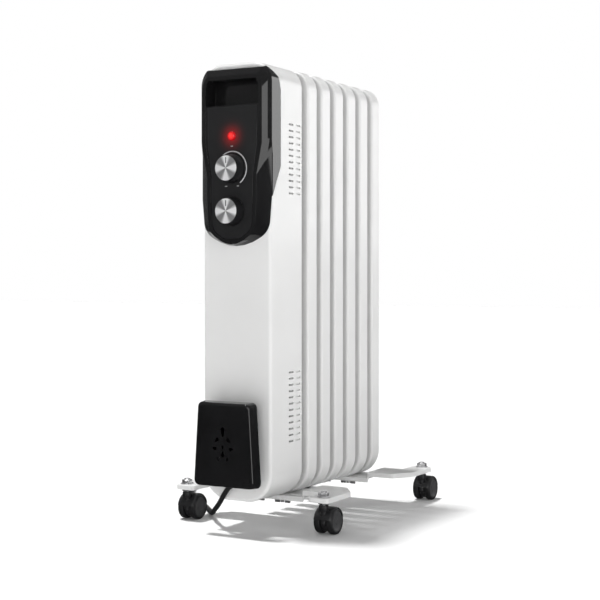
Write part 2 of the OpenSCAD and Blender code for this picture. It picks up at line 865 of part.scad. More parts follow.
fin(1);  // fin_1
fin(2);  // fin_2
fin(3);  // fin_3
fin(4);  // fin_4
fin(5);  // fin_5
fin(6);  // fin_6
fin(7);  // fin_7
oil_filler_plug();
heating_element();
element_flange();
control_housing();
housing_screws();
heat_shield();
shield_screws();
shield_spacers();
control_bezel();
control_panel();
switch_body(thermostat_z, 32, 29, thermostat_d);  // thermostat_body
spindle(thermostat_z);  // thermostat_spindle
knob(thermostat_z);  // thermostat_knob
knob_cap(thermostat_z);  // thermostat_knob_cap
switch_body(selector_z, 30, 29, selector_d);  // selector_switch
spindle(selector_z);  // selector_spindle
knob(selector_z);  // selector_knob
knob_cap(selector_z);  // selector_knob_cap
pilot_lens();
pilot_lamp();
thermal_cutout();
terminal_block();
earth_screw();
internal_wiring();
winder_spool();
winder_plate();
cord_strain_relief();
power_cord();
cord_coil();
power_plug();
plug_pins();
front_foot_bracket();
rear_foot_bracket();
clamp_u_bolts();
wing_nuts();
caster_stems();
stem_nuts();
caster_hood(stem_spots[0]);  // caster_hood_fl
caster_hood(stem_spots[1]);  // caster_hood_fr
caster_hood(stem_spots[2]);  // caster_hood_rl
caster_hood(stem_spots[3]);  // caster_hood_rr
axle(stem_spots[0]);  // axle_fl
axle(stem_spots[1]);  // axle_fr
axle(stem_spots[2]);  // axle_rl
axle(stem_spots[3]);  // axle_rr
wheel(stem_spots[0], -1);  // wheel_fl_left
wheel(stem_spots[0], 1);  // wheel_fl_right
wheel(stem_spots[1], -1);  // wheel_fr_left
wheel(stem_spots[1], 1);  // wheel_fr_right
wheel(stem_spots[2], -1);  // wheel_rl_left
wheel(stem_spots[2], 1);  // wheel_rl_right
wheel(stem_spots[3], -1);  // wheel_rr_left
wheel(stem_spots[3], 1);  // wheel_rr_right
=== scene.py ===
"""Looks of an oil filled radiator heater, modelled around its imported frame."""

import json
import logging
import math
from contextlib import contextmanager
from dataclasses import dataclass
from enum import Enum
from typing import Any, Callable, Iterator, Sequence

import bmesh
import bpy
from mathutils import Matrix, Vector


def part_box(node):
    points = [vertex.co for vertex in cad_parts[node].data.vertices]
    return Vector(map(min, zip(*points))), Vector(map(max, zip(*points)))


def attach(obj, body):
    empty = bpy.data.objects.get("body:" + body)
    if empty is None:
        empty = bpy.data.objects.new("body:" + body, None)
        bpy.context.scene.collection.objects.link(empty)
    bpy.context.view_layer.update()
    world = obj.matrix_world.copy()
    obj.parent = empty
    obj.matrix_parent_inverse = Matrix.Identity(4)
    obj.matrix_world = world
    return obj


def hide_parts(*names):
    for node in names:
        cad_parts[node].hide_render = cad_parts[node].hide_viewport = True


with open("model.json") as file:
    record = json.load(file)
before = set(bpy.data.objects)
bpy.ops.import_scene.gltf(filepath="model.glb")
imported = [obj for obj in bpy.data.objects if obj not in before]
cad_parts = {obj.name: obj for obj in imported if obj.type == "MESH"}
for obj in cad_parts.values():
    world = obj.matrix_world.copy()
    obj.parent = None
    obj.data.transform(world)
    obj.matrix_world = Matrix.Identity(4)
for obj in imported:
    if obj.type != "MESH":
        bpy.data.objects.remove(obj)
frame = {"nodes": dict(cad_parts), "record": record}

LOG = logging.getLogger("heater")
MM = 0.001
TAU = 2 * math.pi
ROOT_BODY = "radiator"
PlaceTest = Callable[[Vector, Vector], bool]


class Part(Enum):
    """What an edit picks: corners, edges or faces."""

    CORNERS = "VERT"
    EDGES = "EDGE"
    FACES = "FACE"


class Axis(Enum):
    """The direction that a round piece's axis takes."""

    X = (0.0, math.pi / 2, 0.0)
    Y = (-math.pi / 2, 0.0, 0.0)
    Z = (0.0, 0.0, 0.0)


class Slot:
    """The record's material slots, by the names that the pieces use."""

    WHITE = "white_paint"
    ZINC = "zinc_steel"
    GLOSS = "gloss_black"
    PANEL = "panel_black"
    SATIN = "satin_black"
    SPUN = "spun_aluminium"
    LENS = "red_lens"
    CORD = "cord_black"
    CASTER = "caster_black"
    WHEEL = "wheel_black"


def low(node: str) -> Vector:
    """The lowest corner of a CAD node, in millimetres."""
    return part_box(node)[0] / MM


def high(node: str) -> Vector:
    """The highest corner of a CAD node, in millimetres."""
    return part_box(node)[1] / MM


def middle(node: str) -> Vector:
    """The middle of a CAD node, in millimetres."""
    return (low(node) + high(node)) / 2


# ---- modelling ----


class Bench:
    """Blender's edit tools, used as by hand on one piece. Sizes and places are in millimetres."""

    def __init__(self, piece: bpy.types.Object) -> None:
        """Takes the piece on the bench.

        Args:
            piece: a mesh object.
        """
        self.piece = piece

    @staticmethod
    def clear() -> None:
        """Leaves nothing selected."""
        for other in bpy.context.selected_objects:
            other.select_set(False)

    @classmethod
    def _new(cls, name: str, size: Sequence[float]) -> "Bench":
        """Names the primitive that was just added and gives it its size.

        Args:
            name: the piece's name.
            size: scale along its own X, Y and Z.

        Returns:
            The bench with the piece on it.
        """
        piece = bpy.context.object
        piece.name = name
        piece.data.name = name
        piece.scale = size
        bpy.ops.object.transform_apply(location=True, rotation=True, scale=True)
        return cls(piece)

    @classmethod
    def plate(cls, name: str, width: float, z0: float, z1: float, y: float) -> "Bench":
        """An upright plate that faces -Y, centred on the middle plane.

        Args:
            name: the piece's name.
            width: size along X.
            z0: height of its foot.
            z1: height of its top.
            y: where it stands.

        Returns:
            The bench with the plate on it.
        """
        cls.clear()
        at = Vector((0, y, (z0 + z1) / 2)) * MM
        bpy.ops.mesh.primitive_plane_add(size=1, location=at, rotation=(math.pi / 2, 0, 0))
        return cls._new(name, (width * MM, (z1 - z0) * MM, 1))

    @classmethod
    def sheet(cls, name: str, x0: float, x1: float, y0: float, y1: float, z: float) -> "Bench":
        """A level sheet that faces up.

        Args:
            name: the piece's name.
            x0: left side.
            x1: right side.
            y0: front side.
            y1: rear side.
            z: its height.

        Returns:
            The bench with the sheet on it.
        """
        cls.clear()
        at = Vector(((x0 + x1) / 2, (y0 + y1) / 2, z)) * MM
        bpy.ops.mesh.primitive_plane_add(size=1, location=at)
        return cls._new(name, ((x1 - x0) * MM, (y1 - y0) * MM, 1))

    @classmethod
    def block(cls, name: str, size: Sequence[float], at: Sequence[float]) -> "Bench":
        """A block.

        Args:
            name: the piece's name.
            size: its three sides.
            at: its middle.

        Returns:
            The bench with the block on it.
        """
        cls.clear()
        bpy.ops.mesh.primitive_cube_add(size=1, location=Vector(at) * MM)
        return cls._new(name, [s * MM for s in size])

    @classmethod
    def drum(
        cls, name: str, radius: float, length: float, at: Sequence[float], axis: Axis,
        top: float | None = None, sides: int = 64,
    ) -> "Bench":
        """A round piece, straight or tapered.

        Args:
            name: the piece's name.
            radius: radius at its start.
            length: length along its axis.
            at: its middle.
            axis: the way that it runs, from start to end.
            top: radius at its end, where that differs.
            sides: how many sides its circles have.

        Returns:
            The bench with the drum on it.
        """
        cls.clear()
        bpy.ops.mesh.primitive_cone_add(
            vertices=sides, radius1=radius * MM, radius2=(radius if top is None else top) * MM,
            depth=length * MM, location=Vector(at) * MM, rotation=axis.value,
        )
        return cls._new(name, (1, 1, 1))

    @contextmanager
    def edit(self) -> Iterator[None]:
        """Edit mode with nothing selected.

        Yields:
            Nothing: the mesh is open for editing until the block ends.
        """
        self.clear()
        bpy.context.view_layer.objects.active = self.piece
        self.piece.select_set(True)
        bpy.ops.object.mode_set(mode="EDIT")
        bpy.ops.mesh.select_all(action="DESELECT")
        yield
        bpy.ops.object.mode_set(mode="OBJECT")

    def pick(self, part: Part, test: PlaceTest) -> None:
        """Selects what passes a test of its middle and of its normal or direction, in edit mode.

        Args:
            part: corners, edges or faces.
            test: takes the middle in millimetres and the direction.
        """
        bpy.ops.mesh.select_mode(type=part.value)
        bpy.ops.mesh.select_all(action="DESELECT")
        mesh = bmesh.from_edit_mesh(self.piece.data)
        if part is Part.CORNERS:
            found = [v for v in mesh.verts if test(v.co / MM, v.normal)]
        elif part is Part.EDGES:
            found = [
                e for e in mesh.edges
                if test((e.verts[0].co + e.verts[1].co) / 2 / MM,
                        (e.verts[1].co - e.verts[0].co).normalized())
            ]
        else:
            found = [f for f in mesh.faces if test(f.calc_center_median() / MM, f.normal)]
        for element in found:
            element.select_set(True)
        mesh.select_flush_mode()
        bmesh.update_edit_mesh(self.piece.data)

    def pick_rim(self, test: PlaceTest) -> None:
        """Selects the open edges that pass a test, in edit mode.

        Args:
            test: takes the middle in millimetres and the direction.
        """
        bpy.ops.mesh.select_mode(type="EDGE")
        bpy.ops.mesh.select_all(action="DESELECT")
        mesh = bmesh.from_edit_mesh(self.piece.data)
        for e in mesh.edges:
            mid = (e.verts[0].co + e.verts[1].co) / 2 / MM
            if e.is_boundary and test(mid, (e.verts[1].co - e.verts[0].co).normalized()):
                e.select_set(True)
        bmesh.update_edit_mesh(self.piece.data)

    def round_corners(self, radius: float, test: PlaceTest, steps: int = 10) -> None:
        """Rounds the picked corners of a flat outline.

        Args:
            radius: radius of the corners.
            test: which corners.
            steps: segments in each.
        """
        with self.edit():
            self.pick(Part.CORNERS, test)
            bpy.ops.mesh.bevel(offset=radius * MM, segments=steps, affect="VERTICES")

    def round_edges(self, radius: float, test: PlaceTest, steps: int = 4) -> None:
        """Rounds the picked edges.

        Args:
            radius: width of the rounding.
            test: which edges.
            steps: segments in each.
        """
        with self.edit():
            self.pick(Part.EDGES, test)
            bpy.ops.mesh.bevel(offset=radius * MM, segments=steps, affect="EDGES")

    @staticmethod
    def pull(by: Sequence[float]) -> None:
        """Extrudes the selected faces, in edit mode.

        Args:
            by: how far, along X, Y and Z.
        """
        bpy.ops.mesh.extrude_region_move(TRANSFORM_OT_translate={"value": Vector(by) * MM})

    @staticmethod
    def pull_edges(by: Sequence[float]) -> None:
        """Extrudes the selected edges, in edit mode.

        Args:
            by: how far, along X, Y and Z.
        """
        bpy.ops.mesh.extrude_edges_move(TRANSFORM_OT_translate={"value": Vector(by) * MM})

    @staticmethod
    def inset(width: float, depth: float = 0) -> None:
        """Insets the selected faces, in edit mode.

        Args:
            width: how far in.
            depth: how far out of the surface.
        """
        bpy.ops.mesh.inset(thickness=width * MM, depth=depth * MM, use_even_offset=True)

    @staticmethod
    def stretch(by: Sequence[float], about: Sequence[float]) -> None:
        """Scales what is selected, in edit mode.

        Args:
            by: factors along X, Y and Z.
            about: the point that stays.
        """
        bpy.ops.transform.resize(value=by, center_override=Vector(about) * MM)

    @staticmethod
    def shift(by: Sequence[float]) -> None:
        """Moves what is selected, in edit mode.

        Args:
            by: how far, along X, Y and Z.
        """
        bpy.ops.transform.translate(value=Vector(by) * MM)

    @staticmethod
    def slice(at: Sequence[float], facing: Sequence[float], drop: bool = False) -> None:
        """Cuts what is selected along a plane, in edit mode.

        Args:
            at: a point of the plane.
            facing: the plane's normal.
            drop: True to remove what lies on the normal's side.
        """
        bpy.ops.mesh.bisect(
            plane_co=Vector(at) * MM, plane_no=Vector(facing).normalized(), clear_outer=drop)

    def cut_lines(self, heights: Sequence[float]) -> None:
        """Adds level cut lines across the piece.

        Args:
            heights: their heights.
        """
        with self.edit():
            for z in heights:
                bpy.ops.mesh.select_all(action="SELECT")
                self.slice((0, 0, z), (0, 0, 1))

    def modify(self, kind: str, **settings: Any) -> "Bench":
        """Adds a modifier, sets it and applies it.

        Args:
            kind: the modifier's type.
            **settings: its properties.

        Returns:
            This bench.
        """
        self.clear()
        bpy.context.view_layer.objects.active = self.piece
        self.piece.select_set(True)
        modifier = self.piece.modifiers.new(kind.lower(), kind)
        for key, value in settings.items():
            setattr(modifier, key, value)
        bpy.ops.object.modifier_apply(modifier=modifier.name)
        return self

    def soften(self, width: float, steps: int = 3, angle: float = 25) -> "Bench":
        """Rounds every sharp edge.

        Args:
            width: width of the rounding.
            steps: segments.
            angle: edges sharper than this many degrees.

        Returns:
            This bench.
        """
        return self.modify(
            "BEVEL", width=width * MM, segments=steps, limit_method="ANGLE",
            angle_limit=math.radians(angle), use_clamp_overlap=True,
        )

    def thicken(self, wall: float, side: float = -1) -> "Bench":
        """Gives a sheet its thickness.

        Args:
            wall: the thickness.
            side: -1 grows it behind the faces, 1 in front of them.

        Returns:
            This bench.
        """
        return self.modify("SOLIDIFY", thickness=wall * MM, offset=side, use_even_offset=True)

    def cut(self, *tools: "Bench") -> "Bench":
        """Cuts other pieces out of this one and throws them away.

        Args:
            *tools: the cutting pieces.

        Returns:
            This bench.
        """
        return self._combine("DIFFERENCE", tools)

    def _combine(self, how: str, tools: Sequence["Bench"]) -> "Bench":
        """Runs a boolean with each tool and removes it.

        Args:
            how: the boolean's operation.
            tools: the other pieces.

        Returns:
            This bench.
        """
        for tool in tools:
            self.modify("BOOLEAN", operation=how, object=tool.piece, solver="EXACT")
            bpy.data.objects.remove(tool.piece)
        return self

    def join(self, *others: "Bench") -> "Bench":
        """Adds other pieces to this one.

        Args:
            *others: the pieces to add.

        Returns:
            This bench.
        """
        self.clear()
        for other in others:
            other.piece.select_set(True)
        self.piece.select_set(True)
        bpy.context.view_layer.objects.active = self.piece
        bpy.ops.object.join()
        return self

    def copy(self, name: str, by: Sequence[float] = (0, 0, 0)) -> "Bench":
        """A copy with its own mesh.

        Args:
            name: the copy's name.
            by: how far it is moved.

        Returns:
            The bench with the copy on it.
        """
        piece = self.piece.copy()
        piece.data = self.piece.data.copy()
        piece.name = name
        piece.data.name = name
        bpy.context.scene.collection.objects.link(piece)
        piece.data.transform(Matrix.Translation(Vector(by) * MM))
        return Bench(piece)

    def turn(self, about: Sequence[float], angle: float, axis: str) -> "Bench":
        """Turns the whole piece.

        Args:
            about: the point that stays.
            angle: in radians.
            axis: "X", "Y" or "Z".

        Returns:
            This bench.
        """
        centre = Vector(about) * MM
        spin = Matrix.Rotation(angle, 4, axis)
        self.piece.data.transform(Matrix.Translation(centre) @ spin @ Matrix.Translation(-centre))
        return self

    def outward(self) -> "Bench":
        """Merges doubled corners and turns every face outwards."""
        with self.edit():
            bpy.ops.mesh.select_all(action="SELECT")
            bpy.ops.mesh.remove_doubles(threshold=0.01 * MM)
            bpy.ops.mesh.normals_make_consistent(inside=False)
        return self

    def smooth(self, angle: float = 32) -> "Bench":
        """Shades smoothly across the flatter edges.

        Args:
            angle: the sharpest of these, in degrees.

        Returns:
            This bench.
        """
        self.clear()
        bpy.context.view_layer.objects.active = self.piece
        self.piece.select_set(True)
        bpy.ops.object.shade_smooth_by_angle(angle=math.radians(angle))
        return self

    def even(self) -> "Bench":
        """Flat faces keep their own shading beside their rounded edges."""
        return self.modify("WEIGHTED_NORMAL", keep_sharp=True)

    def done(
        self, material: bpy.types.Material, slot: str, body: str = ROOT_BODY,
        replaces: Sequence[str] = (),
    ) -> bpy.types.Object:
        """Dresses the piece and fixes it to its body.

        Args:
            material: its material.
            slot: the record's slot that the finish comes from; not used.
            body: the CAD body that it rides on.
            replaces: the CAD nodes that it stands for.

        Returns:
            The finished piece.
        """
        self.piece.data.materials.clear()
        self.piece.data.materials.append(material)
        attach(self.piece, body)
        if replaces:
            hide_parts(*replaces)
        LOG.info("%s: %d faces", self.piece.name, len(self.piece.data.polygons))
        return self.piece


def anywhere(_place: Vector, _way: Vector) -> bool:
    """A test that everything passes."""
    return True


# ---- finishes ----


class Value:
    """A shader socket that takes arithmetic, each step of which adds its Math node."""

    def __init__(self, maker: "Maker", socket: bpy.types.NodeSocket) -> None:
        """Wraps an output socket.

        Args:
            maker: the material that is being made.
            socket: the output that holds the value.
        """
        self.maker = maker
        self.socket = socket

    def _math(self, kind: str, *values: Any) -> "Value":
        """Adds a Math node of one kind.

        Args:
            kind: the operation.
            *values: its inputs.

        Returns:
            The wrapped result.
        """
        return self.maker.node("ShaderNodeMath", {"operation": kind}, dict(enumerate(values)))

    def __add__(self, other: Any) -> "Value":
        """Sum."""
        return self._math("ADD", self, other)

    __radd__ = __add__

    def __sub__(self, other: Any) -> "Value":
        """Difference."""
        return self._math("SUBTRACT", self, other)

    def __rsub__(self, other: Any) -> "Value":
        """Difference, from a number."""
        return self._math("SUBTRACT", other, self)

    def __mul__(self, other: Any) -> "Value":
        """Product."""
        return self._math("MULTIPLY", self, other)

    __rmul__ = __mul__

    def __truediv__(self, other: Any) -> "Value":
        """Quotient."""
        return self._math("DIVIDE", self, other)

    def __pow__(self, other: Any) -> "Value":
        """Power."""
        return self._math("POWER", self, other)

    def of(self, kind: str, *values: Any) -> "Value":
        """Any other Math operation on this value."""
        return self._math(kind, self, *values)


class Maker:
    """Builds one material's nodes around its Principled shader."""

    def __init__(self, name: str) -> None:
        """Starts a material.

        Args:
            name: the material's name.
        """
        self.material = bpy.data.materials.new(name)
        self.material.use_nodes = True
        self.nodes = self.material.node_tree.nodes
        self.links = self.material.node_tree.links
        self.shader = self.nodes["Principled BSDF"]

    def plug(self, socket: bpy.types.NodeSocket, value: Any) -> None:
        """Sets or links an input.

        Args:
            socket: the input.
            value: a number, a colour, or a wrapped output.
        """
        if isinstance(value, Value):
            self.links.new(value.socket, socket)
        elif isinstance(value, (tuple, list)) and socket.type == "RGBA" and len(value) == 3:
            socket.default_value = (*value, 1)
        else:
            socket.default_value = value

    def node(
        self, kind: str, settings: dict[str, Any] | None = None,
        inputs: dict[Any, Any] | None = None, output: Any = 0,
    ) -> Value:
        """Adds a node.

        Args:
            kind: its type.
            settings: its properties, set first.
            inputs: values or links by socket name or number.
            output: the output to wrap.

        Returns:
            The wrapped output.
        """
        made = self.nodes.new(kind)
        for key, value in (settings or {}).items():
            setattr(made, key, value)
        for key, value in (inputs or {}).items():
            self.plug(made.inputs[key], value)
        return Value(self, made.outputs[output])

    def place(self) -> Value:
        """Object coordinates, which are the object's own place in metres."""
        return self.node("ShaderNodeTexCoord", output="Object")

    def noise(self, scale: float, detail: float = 4, stretch: Sequence[float] = (1, 1, 1)) -> Value:
        """Fractal noise.

        Args:
            scale: size of the pattern, per metre.
            detail: how many octaves.
            stretch: scale along X, Y and Z.

        Returns:
            The noise, from 0 to 1.
        """
        turned = self.node("ShaderNodeMapping", inputs={"Vector": self.place(), "Scale": tuple(stretch)})
        return self.node("ShaderNodeTexNoise", inputs={"Vector": turned, "Scale": scale, "Detail": detail})

    def range(self, value: Value, a: float, b: float, to_a: float = 0, to_b: float = 1) -> Value:
        """Maps a range, clamped.

        Args:
            value: what is mapped.
            a: start of the range.
            b: end of the range.
            to_a: result at the start.
            to_b: result at the end.

        Returns:
            The mapped value.
        """
        return self.node(
            "ShaderNodeMapRange", inputs={"Value": value, 1: a, 2: b, 3: to_a, 4: to_b}
        )

    def mix(self, share: Any, first: Any, second: Any) -> Value:
        """Mixes two colours.

        Args:
            share: 0 for the first, 1 for the second.
            first: a colour.
            second: a colour.

        Returns:
            The mixed colour.
        """
        return self.node(
            "ShaderNodeMix", {"data_type": "RGBA"}, {0: share, 6: first, 7: second}, output=2
        )

    def apart(self, vector: Value) -> tuple[Value, Value, Value]:
        """Splits a vector.

        Args:
            vector: the vector.

        Returns:
            Its X, Y and Z.
        """
        split = self.nodes.new("ShaderNodeSeparateXYZ")
        self.plug(split.inputs[0], vector)
        return tuple(Value(self, split.outputs[i]) for i in range(3))

    def bump(self, height: Value, strength: float, distance: float) -> None:
        """Bumps the surface by a height.

        Args:
            height: the height, from 0 to 1.
            strength: share of the full bump.
            distance: the full bump, in metres.
        """
        bumped = self.node(
            "ShaderNodeBump", inputs={"Height": height, "Strength": strength, "Distance": distance}
        )
        self.plug(self.shader.inputs["Normal"], bumped)

    def set(self, **inputs: Any) -> bpy.types.Material:
        """Sets the shader's inputs, named in snake case.

        Args:
            **inputs: values or links.

        Returns:
            The material.
        """
        for key, value in inputs.items():
            self.plug(self.shader.inputs[key.replace("_", " ").title().replace("Ior", "IOR")], value)
        return self.material


@dataclass(frozen=True)
class PowderCoat:
    """Semi-gloss baked powder paint, with a faint orange peel."""

    name: str = "white_powder_coat"
    colour: tuple[float, float, float] = (0.83, 0.83, 0.825)
    shade: tuple[float, float, float] = (0.79, 0.79, 0.785)
    peel: float = 620
    roughness: float = 0.34

    def make(self) -> bpy.types.Material:
        """Makes the material.

        Returns:
            The material.
        """
        m = Maker(self.name)
        cloud = m.noise(7, 3)
        m.bump(m.noise(self.peel, 2), 0.10, 0.0004)
        return m.set(
            base_color=m.mix(m.range(cloud, 0.3, 0.7), self.colour, self.shade),
            roughness=m.range(m.noise(60), 0.3, 0.7, self.roughness - 0.04, self.roughness + 0.06),
            coat_weight=0.25, coat_roughness=0.12,
        )


@dataclass(frozen=True)
class Moulded:
    """Moulded plastic: dark or light, from glossy to matte, with fine texture and handling marks."""

    name: str
    colour: tuple[float, float, float]
    roughness: float
    grain: float = 900
    grain_depth: float = 0.00008
    wear: float = 0.05
    gloss: float = 0.5

    def make(self) -> bpy.types.Material:
        """Makes the material.

        Returns:
            The material.
        """
        m = Maker(self.name)
        lighter = tuple(c * 1.25 + 0.002 for c in self.colour)
        marks = m.noise(45, 5, (1, 1, 0.4))
        m.bump(m.noise(self.grain, 3), 0.35, self.grain_depth)
        return m.set(
            base_color=m.mix(m.range(m.noise(18), 0.35, 0.65), self.colour, lighter),
            roughness=m.range(marks, 0.3, 0.75, self.roughness, self.roughness + self.wear),
            specular_ior_level=self.gloss,
        )


@dataclass(frozen=True)
class Plated:
    """Plated or rolled metal with fine directional marks."""

    name: str
    colour: tuple[float, float, float]
    roughness: float = 0.28
    marks: tuple[float, float, float] = (1, 1, 12)

    def make(self) -> bpy.types.Material:
        """Makes the material.

        Returns:
            The material.
        """
        m = Maker(self.name)
        streak = m.noise(260, 4, self.marks)
        duller = tuple(c * 0.78 for c in self.colour)
        m.bump(streak, 0.2, 0.0001)
        return m.set(
            base_color=m.mix(m.range(streak, 0.3, 0.7), self.colour, duller),
            roughness=m.range(m.noise(90), 0.3, 0.7, self.roughness - 0.06, self.roughness + 0.12),
            metallic=1.0,
        )


@dataclass(frozen=True)
class SpunDisc:
    """A spun metal disc, with the bright and dark sectors of its reflections painted into its colour."""

    name: str
    centre: Vector
    # Colours of the painted highlight sectors and of the painted dark reflection sectors.
    bright: tuple[float, float, float] = (0.95, 0.95, 0.96)
    dark: tuple[float, float, float] = (0.26, 0.26, 0.265)
    painted_reflection_sectors: int = 4

    def make(self) -> bpy.types.Material:
        """Makes the material.

        Returns:
            The material.
        """
        m = Maker(self.name)
        x, _y, z = m.apart(m.place())
        dx = x - self.centre.x * MM
        dz = z - self.centre.z * MM
        radius = (dx * dx + dz * dz) ** 0.5
        angle = dx.of("ARCTAN2", dz)
        # Painted reflection: the colour turns bright and dark with the angle round the centre, standing in
        # for the light that the spun face reflects.
        painted_reflection = (angle * self.painted_reflection_sectors).of("COSINE") * 0.5 + 0.5
        fine = m.node(
            "ShaderNodeTexNoise", {"noise_dimensions": "1D"}, {"W": angle, "Scale": 22, "Detail": 5}
        )
        share = m.range(painted_reflection ** 1.3 + fine * 0.3 - 0.15, 0.12, 0.75)
        rings = (radius * 16000).of("SINE") * 0.5 + 0.5
        m.bump(rings, 0.25, 0.00004)
        return m.set(
            # Base colour carries the painted highlight and painted dark reflection; roughness follows the
            # same sectors.
            base_color=m.mix(share, self.dark, self.bright),
            roughness=m.range(painted_reflection, 0, 1, 0.42, 0.3), metallic=0.35,
        )


@dataclass(frozen=True)
class LitPanel:
    """Satin panel with the soft red glow of the pilot light on it."""

    name: str
    lamp: Vector
    colour: tuple[float, float, float] = (0.013, 0.013, 0.014)
    glow: tuple[float, float, float] = (0.8, 0.012, 0.012)
    reach: float = 11.0

    def make(self) -> bpy.types.Material:
        """Makes the material.

        Returns:
            The material.
        """
        m = Maker(self.name)
        x, _y, z = m.apart(m.place())
        dx = x - self.lamp.x * MM
        dz = z - self.lamp.z * MM
        near = (dx * dx + dz * dz) / (self.reach * MM) ** 2
        halo = (near * -1).of("EXPONENT")
        m.bump(m.noise(1400, 2), 0.4, 0.00006)
        return m.set(
            base_color=m.mix(m.range(m.noise(14), 0.3, 0.7), self.colour,
                             tuple(c * 1.3 for c in self.colour)),
            roughness=m.range(m.noise(70), 0.3, 0.7, 0.34, 0.42),
            emission_color=m.mix(halo, (0, 0, 0), self.glow), emission_strength=0.32,
        )


@dataclass(frozen=True)
class LitLens:
    """Translucent red lens with its lamp lit behind it."""

    name: str
    lamp: Vector
    bright: tuple[float, float, float] = (0.85, 0.035, 0.03)
    edge: tuple[float, float, float] = (0.30, 0.0, 0.003)
    reach: float = 5.5

    def make(self) -> bpy.types.Material:
        """Makes the material.

        Returns:
            The material.
        """
        m = Maker(self.name)
        x, _y, z = m.apart(m.place())
        dx = x - self.lamp.x * MM
        dz = z - self.lamp.z * MM
        share = m.range((dx * dx + dz * dz) ** 0.5, 0, self.reach * MM)
        return m.set(
            base_color=m.mix(share, self.bright, self.edge), roughness=0.22,
            emission_color=m.mix(share, self.bright, self.edge), emission_strength=0.9,
            coat_weight=0.6,
        )


@dataclass(frozen=True)
class Finishes:
    """Every finish of the heater, made once."""

    paint: bpy.types.Material
    gloss: bpy.types.Material
    satin: bpy.types.Material
    panel: bpy.types.Material
    print_silver: bpy.types.Material
    lens: bpy.types.Material
    zinc: bpy.types.Material
    rubber: bpy.types.Material
    caster: bpy.types.Material
    wheel: bpy.types.Material
    hub: bpy.types.Material
    cream: bpy.types.Material
    phenolic: bpy.types.Material
    brass: bpy.types.Material
    sleeve: bpy.types.Material
    caps: tuple[bpy.types.Material, bpy.types.Material]

    @classmethod
    def mixed(cls) -> "Finishes":
        """Mixes every finish.

        Returns:
            The finishes.
        """
        lamp = middle("pilot_lens")
        black = (0.006, 0.006, 0.0065)
        return cls(
            paint=PowderCoat().make(),
            gloss=Moulded("gloss_black_plastic", black, 0.07, 500, 0.00002, 0.05, 0.55).make(),
            satin=Moulded("satin_black_plastic", (0.009, 0.009, 0.01), 0.3).make(),
            panel=LitPanel("satin_control_panel", lamp).make(),
            print_silver=Moulded("printed_silver", (0.46, 0.46, 0.47), 0.4).make(),
            lens=LitLens("lit_red_lens", lamp).make(),
            zinc=Plated("bright_zinc", (0.78, 0.78, 0.79)).make(),
            rubber=Moulded("cord_sheath", (0.012, 0.012, 0.012), 0.42, 1600, 0.0001).make(),
            caster=Moulded("caster_nylon", (0.012, 0.012, 0.013), 0.36, 1200, 0.0001).make(),
            wheel=Moulded("wheel_tread", (0.010, 0.010, 0.011), 0.48, 1500, 0.00014).make(),
            hub=Moulded("wheel_hub", (0.05, 0.05, 0.052), 0.4, 1200, 0.0001).make(),
            cream=Moulded("cream_thermoplastic", (0.70, 0.66, 0.56), 0.45).make(),
            phenolic=Moulded("brown_phenolic", (0.10, 0.055, 0.03), 0.4).make(),
            brass=Plated("machined_brass", (0.80, 0.60, 0.28), 0.25).make(),
            sleeve=Moulded("wire_sleeve", (0.03, 0.08, 0.32), 0.5).make(),
            caps=tuple(
                SpunDisc(f"spun_cap_painted_reflection_{i}", middle(f"{node}_knob_cap")).make()
                for i, node in enumerate(("thermostat", "selector"))
            ),
        )


# ---- the studio ----


